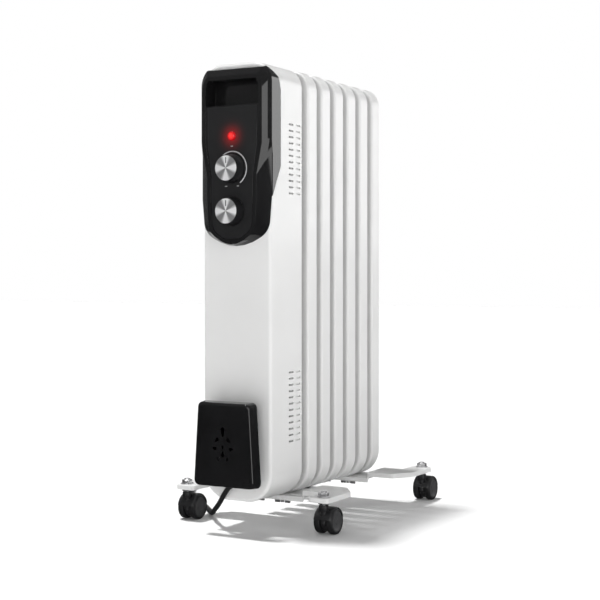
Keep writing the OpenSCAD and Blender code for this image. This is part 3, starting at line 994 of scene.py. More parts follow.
@dataclass
class Studio:
    """Camera, pale floor and soft light."""

    camera_at: tuple[float, float, float] = (0.9452, -1.6457, 0.3441)
    camera_azimuth: float = math.radians(29.95)
    camera_tilt: float = math.radians(-0.13)
    lens: float = 78.06
    lift: float = -0.0348
    floor_size: float = 24.0

    def camera(self) -> None:
        """Sets the camera up, level with the lower half of the heater."""
        data = bpy.data.cameras.new("camera")
        data.lens = self.lens
        data.sensor_width = 36
        data.shift_y = self.lift
        camera = bpy.data.objects.new("camera", data)
        camera.location = self.camera_at
        camera.rotation_euler = (math.pi / 2 + self.camera_tilt, 0, self.camera_azimuth)
        bpy.context.scene.collection.objects.link(camera)
        bpy.context.scene.camera = camera

    def floor(self) -> None:
        """Lays the floor, a wide flat sheet."""
        bench = Bench.sheet("floor", -1, 1, -1, 1, 0)
        bench.piece.data.transform(Matrix.Scale(self.floor_size / 2 / MM, 4))
        m = Maker("pale_floor")
        shade = m.mix(m.range(m.noise(3, 2), 0.3, 0.7), (0.93, 0.93, 0.93), (0.95, 0.95, 0.95))
        bench.piece.data.materials.append(m.set(base_color=shade, roughness=0.7))
        bench.piece.visible_glossy = False

    def light(self, name: str, at: Sequence[float], towards: Sequence[float], size: float,
              watts: float) -> None:
        """Hangs a soft square light.

        Args:
            name: its name.
            at: its place, in metres.
            towards: the point it faces, in metres.
            size: its side, in metres.
            watts: its power.
        """
        data = bpy.data.lights.new(name, "AREA")
        data.shape = "SQUARE"
        data.size = size
        data.energy = watts
        lamp = bpy.data.objects.new(name, data)
        lamp.location = at
        lamp.rotation_euler = (Vector(towards) - Vector(at)).to_track_quat("-Z", "Y").to_euler()
        bpy.context.scene.collection.objects.link(lamp)

    def sky(self, strength: float, mirrored: tuple[float, float]) -> None:
        """Even light from all round, with a white backdrop.

        Args:
            strength: how bright the surroundings are to the surfaces.
            mirrored: how bright they look in glossy surfaces, below and above.
        """
        world = bpy.data.worlds.new("studio")
        world.use_nodes = True
        bpy.context.scene.world = world
        nodes, links = world.node_tree.nodes, world.node_tree.links
        ray = nodes.new("ShaderNodeLightPath")
        shown = nodes["Background"]
        shown.inputs["Strength"].default_value = strength
        shown.inputs["Color"].default_value = (1, 1, 1, 1)
        way, split = nodes.new("ShaderNodeTexCoord"), nodes.new("ShaderNodeSeparateXYZ")
        links.new(way.outputs["Generated"], split.inputs[0])
        level = nodes.new("ShaderNodeMapRange")
        links.new(split.outputs["Z"], level.inputs[0])
        for number, value in enumerate((-0.08, 0.16, *mirrored), 1):
            level.inputs[number].default_value = value
        for kind in ("Is Glossy Ray", "Is Camera Ray"):
            other = nodes.new("ShaderNodeBackground")
            other.inputs["Color"].default_value = (1, 1, 1, 1)
            if kind == "Is Glossy Ray":
                links.new(level.outputs[0], other.inputs["Strength"])
            blend = nodes.new("ShaderNodeMixShader")
            links.new(ray.outputs[kind], blend.inputs[0])
            links.new(shown.outputs[0], blend.inputs[1])
            links.new(other.outputs[0], blend.inputs[2])
            shown = blend
        links.new(shown.outputs[0], nodes["World Output"].inputs["Surface"])

    def build(self) -> None:
        """Builds the whole studio."""
        bpy.context.scene.view_settings.view_transform = "Standard"
        self.floor()
        self.sky(0.27, (0.05, 0.22))
        sun = bpy.data.lights.new("high_key", "SUN")
        sun.energy = 2.95
        sun.angle = math.radians(7)
        lamp = bpy.data.objects.new("high_key", sun)
        lamp.rotation_euler = (Vector((0.26, 0.02, -1))).to_track_quat("-Z", "Y").to_euler()
        bpy.context.scene.collection.objects.link(lamp)
        self.light("camera_fill", (0.9, -2.8, 0.8), (0, 0, 0.3), 1.2, 13)
        self.light("side_softbox", (2.45, -1.1, 0.4), (0, 0, 0.2), 1.6, 18)
        self.light("rear_softbox", (1.9, 2.4, 1.1), (0.1, 0, 0.45), 1.3, 14)


# ---- the cord ----


@dataclass
class MainsCord:
    """The mains cord: out of the winder, across the floor, into a coil and its plug."""

    diameter: float = 7.0
    length: float = 1.32
    coil_inner: float = 36.5
    coil_outer: float = 43.5
    rest_z: float = 3.6
    layer: float = 7.1
    steps: int = 12

    def route(self) -> list[Vector]:
        """The stretch from the winder to the coil, chosen point by point.

        Returns:
            Its points, in millimetres.
        """
        front = low("control_housing").y
        points = (
            (-3, -14, 63), (-12, -10, 54), (-22, -2, 45), (-34, 10, 35.8), (-48, 25, 27),
            (-64, 43, 18.5), (-80, 63, 10.6), (-96, 83, 5), (-113, 103, 3.6), (-134, 125, 3.6),
            (-163, 150, 3.6), (-195, 181, 3.6), (-225, 220, 3.6), (-248, 262, 3.6),
            (-258, 305, 3.6), (-259, 350, 3.6),
        )
        return [Vector((x, y + front, z)) for x, y, z in points]

    def coil(self) -> list[Vector]:
        """The turns of the coil, first along the floor from outside in, then on top and out.

        Returns:
            Its points, in millimetres.
        """
        centre = middle("cord_coil")

        def blend(turn: float, start: float, end: float) -> float:
            """A smooth step from 0 to 1 between two turns."""
            share = min(1, max(0, (turn - start) / (end - start)))
            return share * share * (3 - 2 * share)

        span = self.coil_outer - self.coil_inner
        points = []
        last = round(2.8 * self.steps)
        for step in range(1, last + 1):
            turn = step / self.steps
            angle = math.pi - TAU * turn
            radius = self.coil_outer - span * blend(turn, 0.83, 1.0) + span * blend(turn, 2.5, 2.7)
            z = self.rest_z + self.layer * blend(turn, 1.67, 1.83)
            points.append(Vector((
                centre.x + radius * math.cos(angle), centre.y + radius * math.sin(angle), z
            )))
        return points

    def tail(self) -> list[Vector]:
        """The last stretch, over the coil and into the plug.

        Returns:
            Its points, in millimetres.
        """
        start = Vector((low("power_plug").x, middle("power_plug").y, middle("power_plug").z))
        lead = (
            (-33.2, -51.2, -11.2), (-40.2, -40.3, -9.6), (-41.9, -27.4, -7.6), (-38, -15, -5),
            (-29.2, -5.4, -2.8), (-17.2, -0.5, -0.9), (-4, 0, 0), (4, 0, 0),
        )
        return [start + Vector(p) for p in lead]

    def build(self, finishes: Finishes) -> None:
        """Lays the cord, its plug and its strain relief.

        Args:
            finishes: the heater's finishes.
        """
        relief, plug = self.relief(finishes), self.plug(finishes)
        points = self.route() + self.coil() + self.tail()
        curve = bpy.data.curves.new("mains_cord", "CURVE")
        curve.dimensions = "3D"
        spline = curve.splines.new("BEZIER")
        spline.bezier_points.add(len(points) - 1)
        for corner, point in zip(spline.bezier_points, points):
            corner.co = point * MM
            corner.handle_left_type = corner.handle_right_type = "AUTO"
        spline.resolution_u = 6
        curve.bevel_depth = self.diameter / 2 * MM
        curve.bevel_resolution = 4
        curve.use_fill_caps = True
        curve.materials.append(finishes.rubber)
        cord = bpy.data.objects.new("mains_cord", curve)
        bpy.context.scene.collection.objects.link(cord)
        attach(cord, ROOT_BODY)
        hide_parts("power_cord", "cord_coil")
        tuple(points[0] * MM)
        LOG.info("%s: %d points", cord.name, len(points))

    def relief(self, finishes: Finishes) -> bpy.types.Object:
        """The tapered, ribbed sleeve where the cord leaves the winder.

        Args:
            finishes: the heater's finishes.

        Returns:
            The sleeve.
        """
        start, following = self.route()[:2]
        way = (start - following).normalized()
        slant = math.atan2(way.x, way.z)
        tip = math.asin(-way.y)
        core = Bench.drum("strain_relief", 4.3, 26, start + Vector((0, 0, 13)), Axis.Z, top=5.6)
        ribs = []
        for i in range(6):
            rib = Bench.drum(f"rib_{i}", 4.7 + 0.24 * i, 2.4, start + Vector((0, 0, 2.4 + 4 * i)),
                             Axis.Z, sides=40)
            ribs.append(rib.soften(0.6, 2))
        core.join(*ribs).turn(start, tip, "X").turn(start, slant, "Y").smooth()
        return core.done(finishes.satin, Slot.SATIN, replaces=["cord_strain_relief"])

    def plug(self, finishes: Finishes) -> bpy.types.Object:
        """The moulded plug with its grips and tapered neck.

        Args:
            finishes: the heater's finishes.

        Returns:
            The plug.
        """
        lo, hi = low("power_plug"), high("power_plug")
        neck = 22.0
        body_x0 = lo.x + neck
        mid = (lo + hi) / 2
        size = Vector((hi.x - body_x0, hi.y - lo.y, hi.z - lo.z))
        centre = Vector(((body_x0 + hi.x) / 2, mid.y, mid.z))
        body = Bench.block("mains_plug", size, centre)
        with body.edit():
            body.pick(Part.CORNERS, lambda p, n: p.x < body_x0 + 1)
            body.stretch((1, 0.62, 0.85), centre)
        body.soften(4.5, 4)
        with body.edit():
            body.pick(Part.FACES, lambda p, n: abs(n.z) > 0.9)
            body.inset(2.5, 0)
            body.inset(1.2, -1.1)
        body.soften(0.5, 2, 20)
        grips = []
        for i in range(4):
            at = centre + Vector((-9 + 5 * i, 0, 0))
            grips.append(Bench.block(f"grip_{i}", (2, size.y * 0.42, size.z - 0.6), at).soften(0.7, 2))
        sleeve = Bench.drum("neck", 4.4, neck + 3, (lo.x + neck / 2 + 1.5, mid.y, mid.z), Axis.X, top=7)
        rings = [
            Bench.drum(f"ring_{i}", 5.2 + 0.45 * i, 2.2, (lo.x + 3.5 + 4.4 * i, mid.y, mid.z), Axis.X,
                       sides=40).soften(0.6, 2)
            for i in range(4)
        ]
        body.join(sleeve, *grips, *rings).smooth()
        return body.done(finishes.satin, Slot.SATIN, replaces=["power_plug"])


# ---- fins ----


@dataclass
class FinStack:
    """Seven pressed fins, welded together at their upper and lower necks."""

    count: int = 7
    pitch: float = 39.0
    flange: float = 23.0
    hem: float = 3.2
    bend: float = 3.6
    sheet: float = 0.8
    bulge_front: float = 6.0
    bulge_rear: float = 14.0
    channel: float = 70.0
    margin: float = 14.0
    corner_top: float = 28.0
    corner_bottom: float = 38.0
    first_lift: float = 4.0

    def plate_y(self, index: int) -> float:
        """Where the plate of a fin stands."""
        return low(f"fin_{index}").y + self.bulge_front

    def skin(self, name: str, index: int) -> Bench:
        """The pressed plate of a fin with its folded, hemmed edge.

        Args:
            name: the piece's name.
            index: the fin, from 1 at the front.

        Returns:
            The bench with the skin on it.
        """
        lo, hi, y = low(f"fin_{index}"), high(f"fin_{index}"), self.plate_y(index)
        lift = self.first_lift if index == 1 else 0
        width, height = hi.x - lo.x, hi.z - lo.z
        centre = (0, y, (lo.z + hi.z) / 2)
        bench = Bench.plate(name, width, lo.z, hi.z, y)
        bench.round_corners(self.corner_top - lift, lambda p, n: p.z > hi.z - 1, 12)
        bench.round_corners(self.corner_bottom - lift, lambda p, n: p.z < lo.z + 1, 12)
        fold, step = self.flange - self.hem, 0.45
        with bench.edit():
            bench.pick_rim(anywhere)
            bench.pull_edges((0, fold - 1.2, 0))
            bench.pull_edges((0, 1.2, 0))
            bench.stretch((1 + 2 * step / width, 1, 1 + 2 * step / height), centre)
            bench.pull_edges((0, self.hem, 0))
            bench.pull_edges((0, 0, 0))
            bench.stretch((1 - 4 / width, 1, 1 - 4 / height), centre)
            bench.pull_edges((0, -self.hem, 0))
        bench.round_edges(self.bend, lambda p, d: abs(p.y - y) < 0.1, 5)
        bench.round_edges(0.9, lambda p, d: abs(p.y - y - self.flange) < 0.05 and abs(d.y) < 0.1, 3)
        return bench.thicken(self.sheet)

    def emboss(self, index: int, depth: float, rear: bool) -> Bench:
        """The oil channel pressed out of one side of a fin.

        Args:
            index: the fin.
            depth: how far it stands out.
            rear: True for the rear side.

        Returns:
            The bench with the channel on it.
        """
        lo, hi, y = low(f"fin_{index}"), high(f"fin_{index}"), self.plate_y(index)
        lift = self.first_lift if index == 1 else 0
        z0, z1 = lo.z - lift + self.margin, hi.z + lift - self.margin
        centre = (0, y, (z0 + z1) / 2)
        wall, gap = 5.0, 0.3
        slot = self.channel - 2 * (wall + 18)
        long_now, long_then = z1 - z0 - 2 * (wall + 18), z1 - z0 - 2 * 57
        bench = Bench.plate("channel", self.channel, z0, z1, y)
        bench.round_corners(self.channel / 2 - 1, anywhere, 12)
        with bench.edit():
            bench.pick(Part.FACES, anywhere)
            bench.inset(wall, depth)
            bench.inset((self.channel - slot) / 2 - wall)
            bench.stretch((1, 1, long_then / long_now), centre)
            bench.inset(wall, gap - depth)
        bench.soften(2.0, 3, 18).thicken(self.sheet)
        return bench.turn(centre, math.pi, "Z") if rear else bench

    def necks(self, index: int) -> list[Bench]:
        """The welded necks behind a fin.

        Args:
            index: the fin.

        Returns:
            The benches with the necks on them.
        """
        y0 = self.plate_y(index) + self.bulge_rear - 1
        y1 = self.plate_y(index) + self.pitch - self.bulge_front + 1
        offset = self.margin + self.channel / 2
        made = []
        for z in (low("fin_2").z + offset, high("fin_2").z - offset):
            tube = Bench.drum("neck", 18, y1 - y0, (0, (y0 + y1) / 2, z), Axis.Y)
            bead = Bench.drum("bead", 19.6, 3.4, (0, (y0 + y1) / 2, z), Axis.Y).soften(1.4, 3)
            made += [tube, bead]
        return made

    def fin(self, index: int) -> Bench:
        """One whole fin.

        Args:
            index: the fin.

        Returns:
            The bench with the fin on it.
        """
        pieces = [self.emboss(index, self.bulge_front, False), self.emboss(index, self.bulge_rear, True)]
        if index < self.count:
            pieces += self.necks(index)
        return self.skin(f"fin_shell_{index}", index).join(*pieces).smooth(35)

    def build(self, finishes: Finishes) -> None:
        """Builds the seven fins and the oil filler's screw.

        Args:
            finishes: the heater's finishes.
        """
        pattern = self.fin(2)
        benches = [self.fin(1), pattern]
        benches += [pattern.copy(f"fin_shell_{i}", (0, self.pitch * (i - 2), 0)) for i in range(3, 7)]
        benches.append(self.fin(self.count))
        for i, bench in enumerate(benches, 1):
            bench.even().done(finishes.paint, Slot.WHITE, replaces=[f"fin_{i}"])
        lo, mid = low("oil_filler_plug"), middle("oil_filler_plug")
        y = high("oil_filler_plug").y
        washer = Bench.drum("filler_screw", 8, 1.4, (0, y - 3.3, mid.z), Axis.Y).soften(0.3, 2)
        head = Bench.drum("head", 7, 3, (0, y - 1.5, mid.z), Axis.Y, sides=6).soften(0.7, 2)
        socket = Bench.drum("socket", 3, 4, (0, y, mid.z), Axis.Y, sides=6)
        shank = Bench.drum("shank", 4.9, 4, (0, lo.y + 2, mid.z), Axis.Y)
        washer.join(head.cut(socket), shank).smooth()
        washer.done(finishes.zinc, Slot.ZINC, replaces=["oil_filler_plug"])


# ---- housing, bezel and controls ----


@dataclass
class Housing:
    """The white sheet-metal housing in front of the fins, with its side vents."""

    wall: float = 1.2
    bend: float = 4.5
    corner_top: float = 28.0
    corner_bottom: float = 38.0
    vent_rows: int = 12
    vent_pitch: float = 8.5
    vent: tuple[float, float] = (12.0, 2.6)
    vent_tops: tuple[float, float] = (551.0, 215.0)
    vent_columns: tuple[float, float] = (47.0, 66.0)
    pocket: tuple[float, float, float] = (90.0, 566.0, 616.0)

    def vents(self) -> Bench:
        """The tool that cuts every vent through both sides.

        Returns:
            The bench with the tool on it.
        """
        lo, hi = low("control_housing"), high("control_housing")
        length, height = self.vent
        spots = [
            Vector((0, lo.y + column + length / 2, top - row * self.vent_pitch - height / 2))
            for top in self.vent_tops for column in self.vent_columns
            for row in range(self.vent_rows)
        ]
        first = Bench.block("vents", (hi.x - lo.x + 6, length, height), spots[0])
        first.round_edges(1.1, lambda p, d: abs(d.x) > 0.9, 3)
        copies = [first.copy("vent", spot - spots[0]) for spot in spots[1:]]
        return first.join(*copies)

    def build(self, finishes: Finishes) -> None:
        """Builds the housing.

        Args:
            finishes: the heater's finishes.
        """
        lo, hi = low("control_housing"), high("control_housing")
        bench = Bench.plate("housing_shell", hi.x - lo.x, lo.z, hi.z, lo.y)
        bench.round_corners(self.corner_top, lambda p, n: p.z > hi.z - 1, 14)
        bench.round_corners(self.corner_bottom, lambda p, n: p.z < lo.z + 1, 14)
        with bench.edit():
            bench.pick_rim(anywhere)
            bench.pull_edges((0, hi.y - lo.y, 0))
        bench.round_edges(self.bend, lambda p, d: abs(p.y - lo.y) < 0.1, 6)
        bench.thicken(self.wall).soften(0.3, 2, 50)
        pocket_w, pocket_z0, pocket_z1 = self.pocket
        pocket = Bench.block("pocket", (pocket_w, 12, pocket_z1 - pocket_z0),
                             (0, lo.y, (pocket_z0 + pocket_z1) / 2))
        pocket.round_edges(8, lambda p, d: abs(d.y) > 0.9, 5)
        bench.cut(self.vents(), pocket).smooth(35).even()
        bench.done(finishes.paint, Slot.WHITE, replaces=["control_housing"])


@dataclass
class Bezel:
    """The black moulding with its grip pocket, rim and sloping cheeks."""

    foot_z: float = 384.5
    top_z: float = 623.5
    corner: float = 29.7
    foot_arc: float = 75.0
    foot_corner: float = 11.0
    foot_share: float = 0.93
    chin_z: float = 448.0
    rim_foot_z: float = 386.5
    rim_top_z: float = 612.0
    rim_w: float = 95.0
    rim_waist_w: float = 78.0
    cheek_y: float = 6.5
    cheek_w: float = 105.0
    cheek_waist_w: float = 95.0
    hip_z: float = 520.0
    waist_z: float = 478.0
    rim: float = 5.5
    step: float = 1.2
    pocket_z: float = 572.5
    pocket_floor: float = 12.0
    hem: float = 2.2
    wrap: float = 23.0
    skin: float = 1.6

    def base_height(self, rim_z: float) -> float:
        """The height on the back outline that becomes a given height on the rim."""
        scale = (self.top_z - self.foot_z) / (self.rim_top_z - self.rim_foot_z)
        return self.foot_z + (rim_z - self.rim_foot_z) * scale

    def outline(self, width: float, y: float) -> Bench:
        """The flat outline against the housing, its foot hanging in an arc.

        Args:
            width: the full width.
            y: where it lies.

        Returns:
            The bench with the outline on it.
        """
        crown = high("control_housing").z + self.corner - 28
        bench = Bench.plate("bezel_shell", width, self.foot_z, crown, y)
        steps = 8
        with bench.edit():
            bench.pick(Part.EDGES, lambda p, d: p.z < self.foot_z + 0.1)
            bpy.ops.mesh.subdivide(number_cuts=steps - 1)
            for step in range(steps + 1):
                x = width * (step / steps - 0.5)
                bench.pick(Part.CORNERS, lambda p, n: p.z < self.foot_z + 0.01 and abs(p.x - x) < 1)
                bench.shift((0, 0, x * x / 2 / self.foot_arc + 0.02))
            bpy.ops.mesh.select_all(action="SELECT")
            bpy.ops.mesh.dissolve_faces()
        bench.round_corners(self.corner, lambda p, n: p.z > crown - 1, 14)
        heights = [self.base_height(z) for z in (self.pocket_z, self.hip_z, self.waist_z)]
        bench.cut_lines((*heights, self.chin_z))
        with bench.edit():
            bench.pick(Part.CORNERS, lambda p, n: p.z < self.chin_z - 10)
            bench.stretch((self.foot_share, 1, 1), (0, y, self.foot_z))
        edge = width * self.foot_share / 2
        bench.round_corners(
            self.foot_corner, lambda p, n: p.z < self.chin_z - 10 and abs(p.x) > edge - 1, 8)
        with bench.edit():
            bpy.ops.mesh.select_all(action="SELECT")
            bench.slice((0, y, self.top_z), (0, 0, 1), drop=True)
            bpy.ops.mesh.select_all(action="SELECT")
            bpy.ops.mesh.remove_doubles(threshold=1.2 * MM)
        return bench

    def build(self, finishes: Finishes) -> None:
        """Builds the bezel.

        Args:
            finishes: the heater's finishes.
        """
        lo, hi = low("control_bezel"), high("control_bezel")
        face_y, back_y = lo.y, low("control_housing").y
        width, height = hi.x - lo.x, self.top_z - self.foot_z
        bench = self.outline(width, back_y)
        depth = back_y - face_y
        mid_base = (0, 0, (self.foot_z + self.top_z) / 2)
        mid_rim = (self.rim_foot_z + self.rim_top_z) / 2
        rim_height = self.rim_top_z - self.rim_foot_z
        with bench.edit():
            bench.pick(Part.FACES, anywhere)
            bench.pull((0, -self.cheek_y, 0))
            bench.stretch((self.cheek_w / width, 1, 1 - 4 / height), mid_base)
            bench.pull((0, self.cheek_y - depth, 0))
            bench.stretch((self.rim_w / self.cheek_w, 1, rim_height / (height - 4)), mid_base)
            bench.shift((0, 0, mid_rim - mid_base[2]))
        cheek = back_y - self.cheek_y
        self._narrow(bench, cheek, self.cheek_waist_w / self.cheek_w)
        self._narrow(bench, face_y, self.rim_waist_w / self.rim_w)
        for y, rise in ((back_y, 26), (cheek, 13)):
            with bench.edit():
                bench.pick(Part.CORNERS, lambda p, n: (
                    abs(p.y - y) < 0.1 and abs(p.z - self.base_height(self.waist_z)) < 4))
                bench.shift((0, 0, rise))
        with bench.edit():
            bench.pick(Part.FACES, lambda p, n: abs(p.y - face_y) < 0.1)
            bench.inset(self.rim)
            bench.pull((0, self.step, 0))
            bench.pick(Part.FACES, lambda p, n: (
                abs(p.y - face_y - self.step) < 0.1 and p.z > self.pocket_z and abs(n.y) > 0.9))
            bench.pull((0, depth + self.pocket_floor - self.step, 0))
            bench.pick(Part.FACES, lambda p, n: abs(p.y - back_y) < 0.1 and abs(n.y) > 0.9)
            bpy.ops.mesh.delete(type="FACE")
            bench.pick_rim(lambda p, d: abs(p.y - back_y) < 0.1)
            bench.pull_edges((0, self.hem, 0))
            bench.pull_edges((0, self.wrap - self.hem, 0))
        self._trim(bench, back_y)
        bench.outward().soften(0.8, 3, 14).thicken(self.skin).smooth(40).even()
        bench.done(finishes.gloss, Slot.GLOSS, replaces=["control_bezel"])

    def _narrow(self, bench: Bench, y: float, factor: float) -> None:
        """Draws the lower part of one outline in.

        Args:
            bench: the bezel.
            y: where the outline lies.
            factor: how much narrower it becomes.
        """
        with bench.edit():
            bench.pick(Part.CORNERS, lambda p, n: abs(p.y - y) < 0.1 and p.z < self.waist_z + 7)
            bench.stretch((factor, 1, 1), (0, y, self.foot_z))

    def _trim(self, bench: Bench, back_y: float) -> None:
        """Cuts the slanting edges of the part that wraps round the housing.

        Args:
            bench: the bezel.
            back_y: the housing's front.
        """
        cuts = (
            ((0, back_y + self.wrap, 491), (0, 45, -self.wrap)),
            ((0, back_y + self.wrap, 592), (0, 17.7, 4.7)),
            ((0, back_y + 18, 610), (0, 13.7, 18.3)),
        )
        for at, facing in cuts:
            with bench.edit():
                bench.pick(Part.FACES, lambda p, n: p.y > back_y + self.hem + 0.1 and abs(n.y) < 0.5)
                bench.slice(at, facing, drop=True)


@dataclass
class ControlPanel:
    """The satin panel with its printed scale, the pilot lens and two spun-capped knobs."""

    hip_z: float = 520.0
    waist_z: float = 478.0
    corner: float = 20.0
    scale_r: float = 22.3
    scale_w: float = 1.5
    scale_from: float = math.radians(-38)
    scale_to: float = math.radians(146)
    mark_w: float = 3.4
    mark_h: float = 0.9
    ink: float = 0.12
    sunk: float = 3.0

    def panel(self, finishes: Finishes) -> None:
        """The panel itself.

        Args:
            finishes: the heater's finishes.
        """
        lo, hi = low("control_panel"), high("control_panel")
        foot_w = 66.0
        bench = Bench.plate("panel_plate", hi.x - lo.x, lo.z, hi.z, hi.y)
        bench.cut_lines((self.hip_z, self.waist_z))
        with bench.edit():
            bench.pick(Part.CORNERS, lambda p, n: p.z < self.waist_z + 1)
            bench.stretch((foot_w / (hi.x - lo.x), 1, 1), (0, hi.y, lo.z))
        bench.round_corners(self.corner, lambda p, n: p.z < lo.z + 1, 12)
        with bench.edit():
            bench.pick(Part.FACES, anywhere)
            bench.pull((0, lo.y - hi.y, 0))
        bench.outward()
        bench.round_edges(0.9, lambda p, d: abs(p.y - lo.y) < 0.05 and (
            p.z > hi.z - 0.5 or p.z < lo.z + 24 or abs(p.x) > foot_w / 2 - 1), 3)
        bench.smooth(40).even().done(finishes.panel, Slot.PANEL, replaces=["control_panel"])

    @staticmethod
    def marks_at(upper: Vector, lower: Vector) -> tuple[tuple[float, float, Vector], ...]:
        """Where the small marks are: an angle and a radius about one of the knobs.

        Args:
            upper: the upper knob's middle.
            lower: the lower knob's middle.

        Returns:
            The angles, radii and middles.
        """
        return (-15, 35, lower), (16, 35, lower), (0, 30, upper)

    def printing(self, finishes: Finishes) -> None:
        """The silver scale round the upper knob and three small marks.

        Args:
            finishes: the heater's finishes.
        """
        y = low("control_panel").y - 0.06
        axis, lower = middle("thermostat_knob"), middle("selector_knob")
        scale = Bench.plate("dial_scale", self.scale_w, axis.z + self.scale_r,
                            axis.z + self.scale_r + self.scale_w, y)
        with scale.edit():
            scale.pick(Part.EDGES, lambda p, d: p.x > 0.1 and abs(d.z) > 0.9)
            bpy.ops.mesh.select_all(action="INVERT")
            bpy.ops.mesh.delete(type="EDGE")
            bpy.ops.mesh.select_all(action="SELECT")
            scale.shift((-self.scale_w / 2, 0, 0))
            bpy.ops.mesh.spin(steps=48, angle=self.scale_to - self.scale_from,
                              center=Vector((axis.x, y, axis.z)) * MM, axis=(0, -1, 0))
        scale.turn((axis.x, y, axis.z), self.scale_from, "Y")
        marks = []
        for degrees, radius, about in self.marks_at(axis, lower):
            way = math.radians(degrees)
            z = about.z + radius * math.cos(way)
            mark = Bench.plate("mark", self.mark_w, z - self.mark_h / 2, z + self.mark_h / 2, y)
            with mark.edit():
                mark.pick(Part.FACES, anywhere)
                mark.shift((about.x + radius * math.sin(way), 0, 0))
            marks.append(mark)
        scale.join(*marks).thicken(self.ink, 1).done(finishes.print_silver, Slot.SPUN)

    def pilot(self, finishes: Finishes) -> None:
        """The domed pilot lens.

        Args:
            finishes: the heater's finishes.
        """
        lo, hi, mid = low("pilot_lens"), high("pilot_lens"), middle("pilot_lens")
        bench = Bench.drum("pilot_dome", 6, hi.y - lo.y, (mid.x, mid.y, mid.z), Axis.Y, sides=48)
        with bench.edit():
            bench.pick(Part.FACES, lambda p, n: n.y < -0.9)
            bench.inset(0.3)
            for ring in range(4):
                bench.inset(1.2, 0.55 - 0.15 * ring)
        bench.soften(0.4, 2, 25).smooth(60)
        bench.piece.data.transform(Matrix.Translation((0, 1.0 * MM, 0)))
        bench.done(finishes.lens, Slot.LENS, replaces=["pilot_lens"])

    def knob(self, kind: str, material: bpy.types.Material, finishes: Finishes) -> None:
        """One knob and its spun cap.

        Args:
            kind: "thermostat" or "selector".
            material: the finish of its cap.
            finishes: the heater's finishes.
        """
        lo, hi, mid = low(f"{kind}_knob"), high(f"{kind}_knob"), middle(f"{kind}_knob")
        cap_y, body = low(f"{kind}_knob_cap").y + self.sunk, f"{kind}_dial"
        foot_r, face_r, cap_r = 19.4, 17.6, 16.8
        skirt = Bench.drum(f"{kind}_skirt", face_r, hi.y - lo.y - self.sunk,
                           mid + Vector((0, self.sunk / 2, 0)), Axis.Y, top=foot_r, sides=96)
        with skirt.edit():
            skirt.pick(Part.FACES, lambda p, n: n.y < -0.9)
            skirt.inset(face_r - cap_r)
            skirt.pull((0, 0.9, 0))
            skirt.pick(Part.FACES, lambda p, n: n.y > 0.9)
            skirt.inset(2.5)
            skirt.pull((0, -7, 0))
        skirt.soften(0.45, 3, 30).smooth(40)
        skirt.done(finishes.satin, Slot.SATIN, body, [f"{kind}_knob"])
        cap = Bench.drum(f"{kind}_cap", cap_r - 0.15, 0.9, (mid.x, cap_y + 0.5, mid.z), Axis.Y,
                         sides=96).soften(0.35, 3)
        notch = Bench.block("notch", (1.7, 4, 8), (mid.x, cap_y + 0.4, mid.z + 10.2))
        notch.round_edges(0.8, lambda p, d: abs(d.y) > 0.9, 3)
        cap.cut(notch).smooth(40).done(material, Slot.SPUN, body, [f"{kind}_knob_cap"])

    def build(self, finishes: Finishes) -> None:
        """Builds the panel and all that is on it.

        Args:
            finishes: the heater's finishes.
        """
        self.panel(finishes)
        self.printing(finishes)
        self.pilot(finishes)
        for kind, material in zip(("thermostat", "selector"), finishes.caps):
            self.knob(kind, material, finishes)


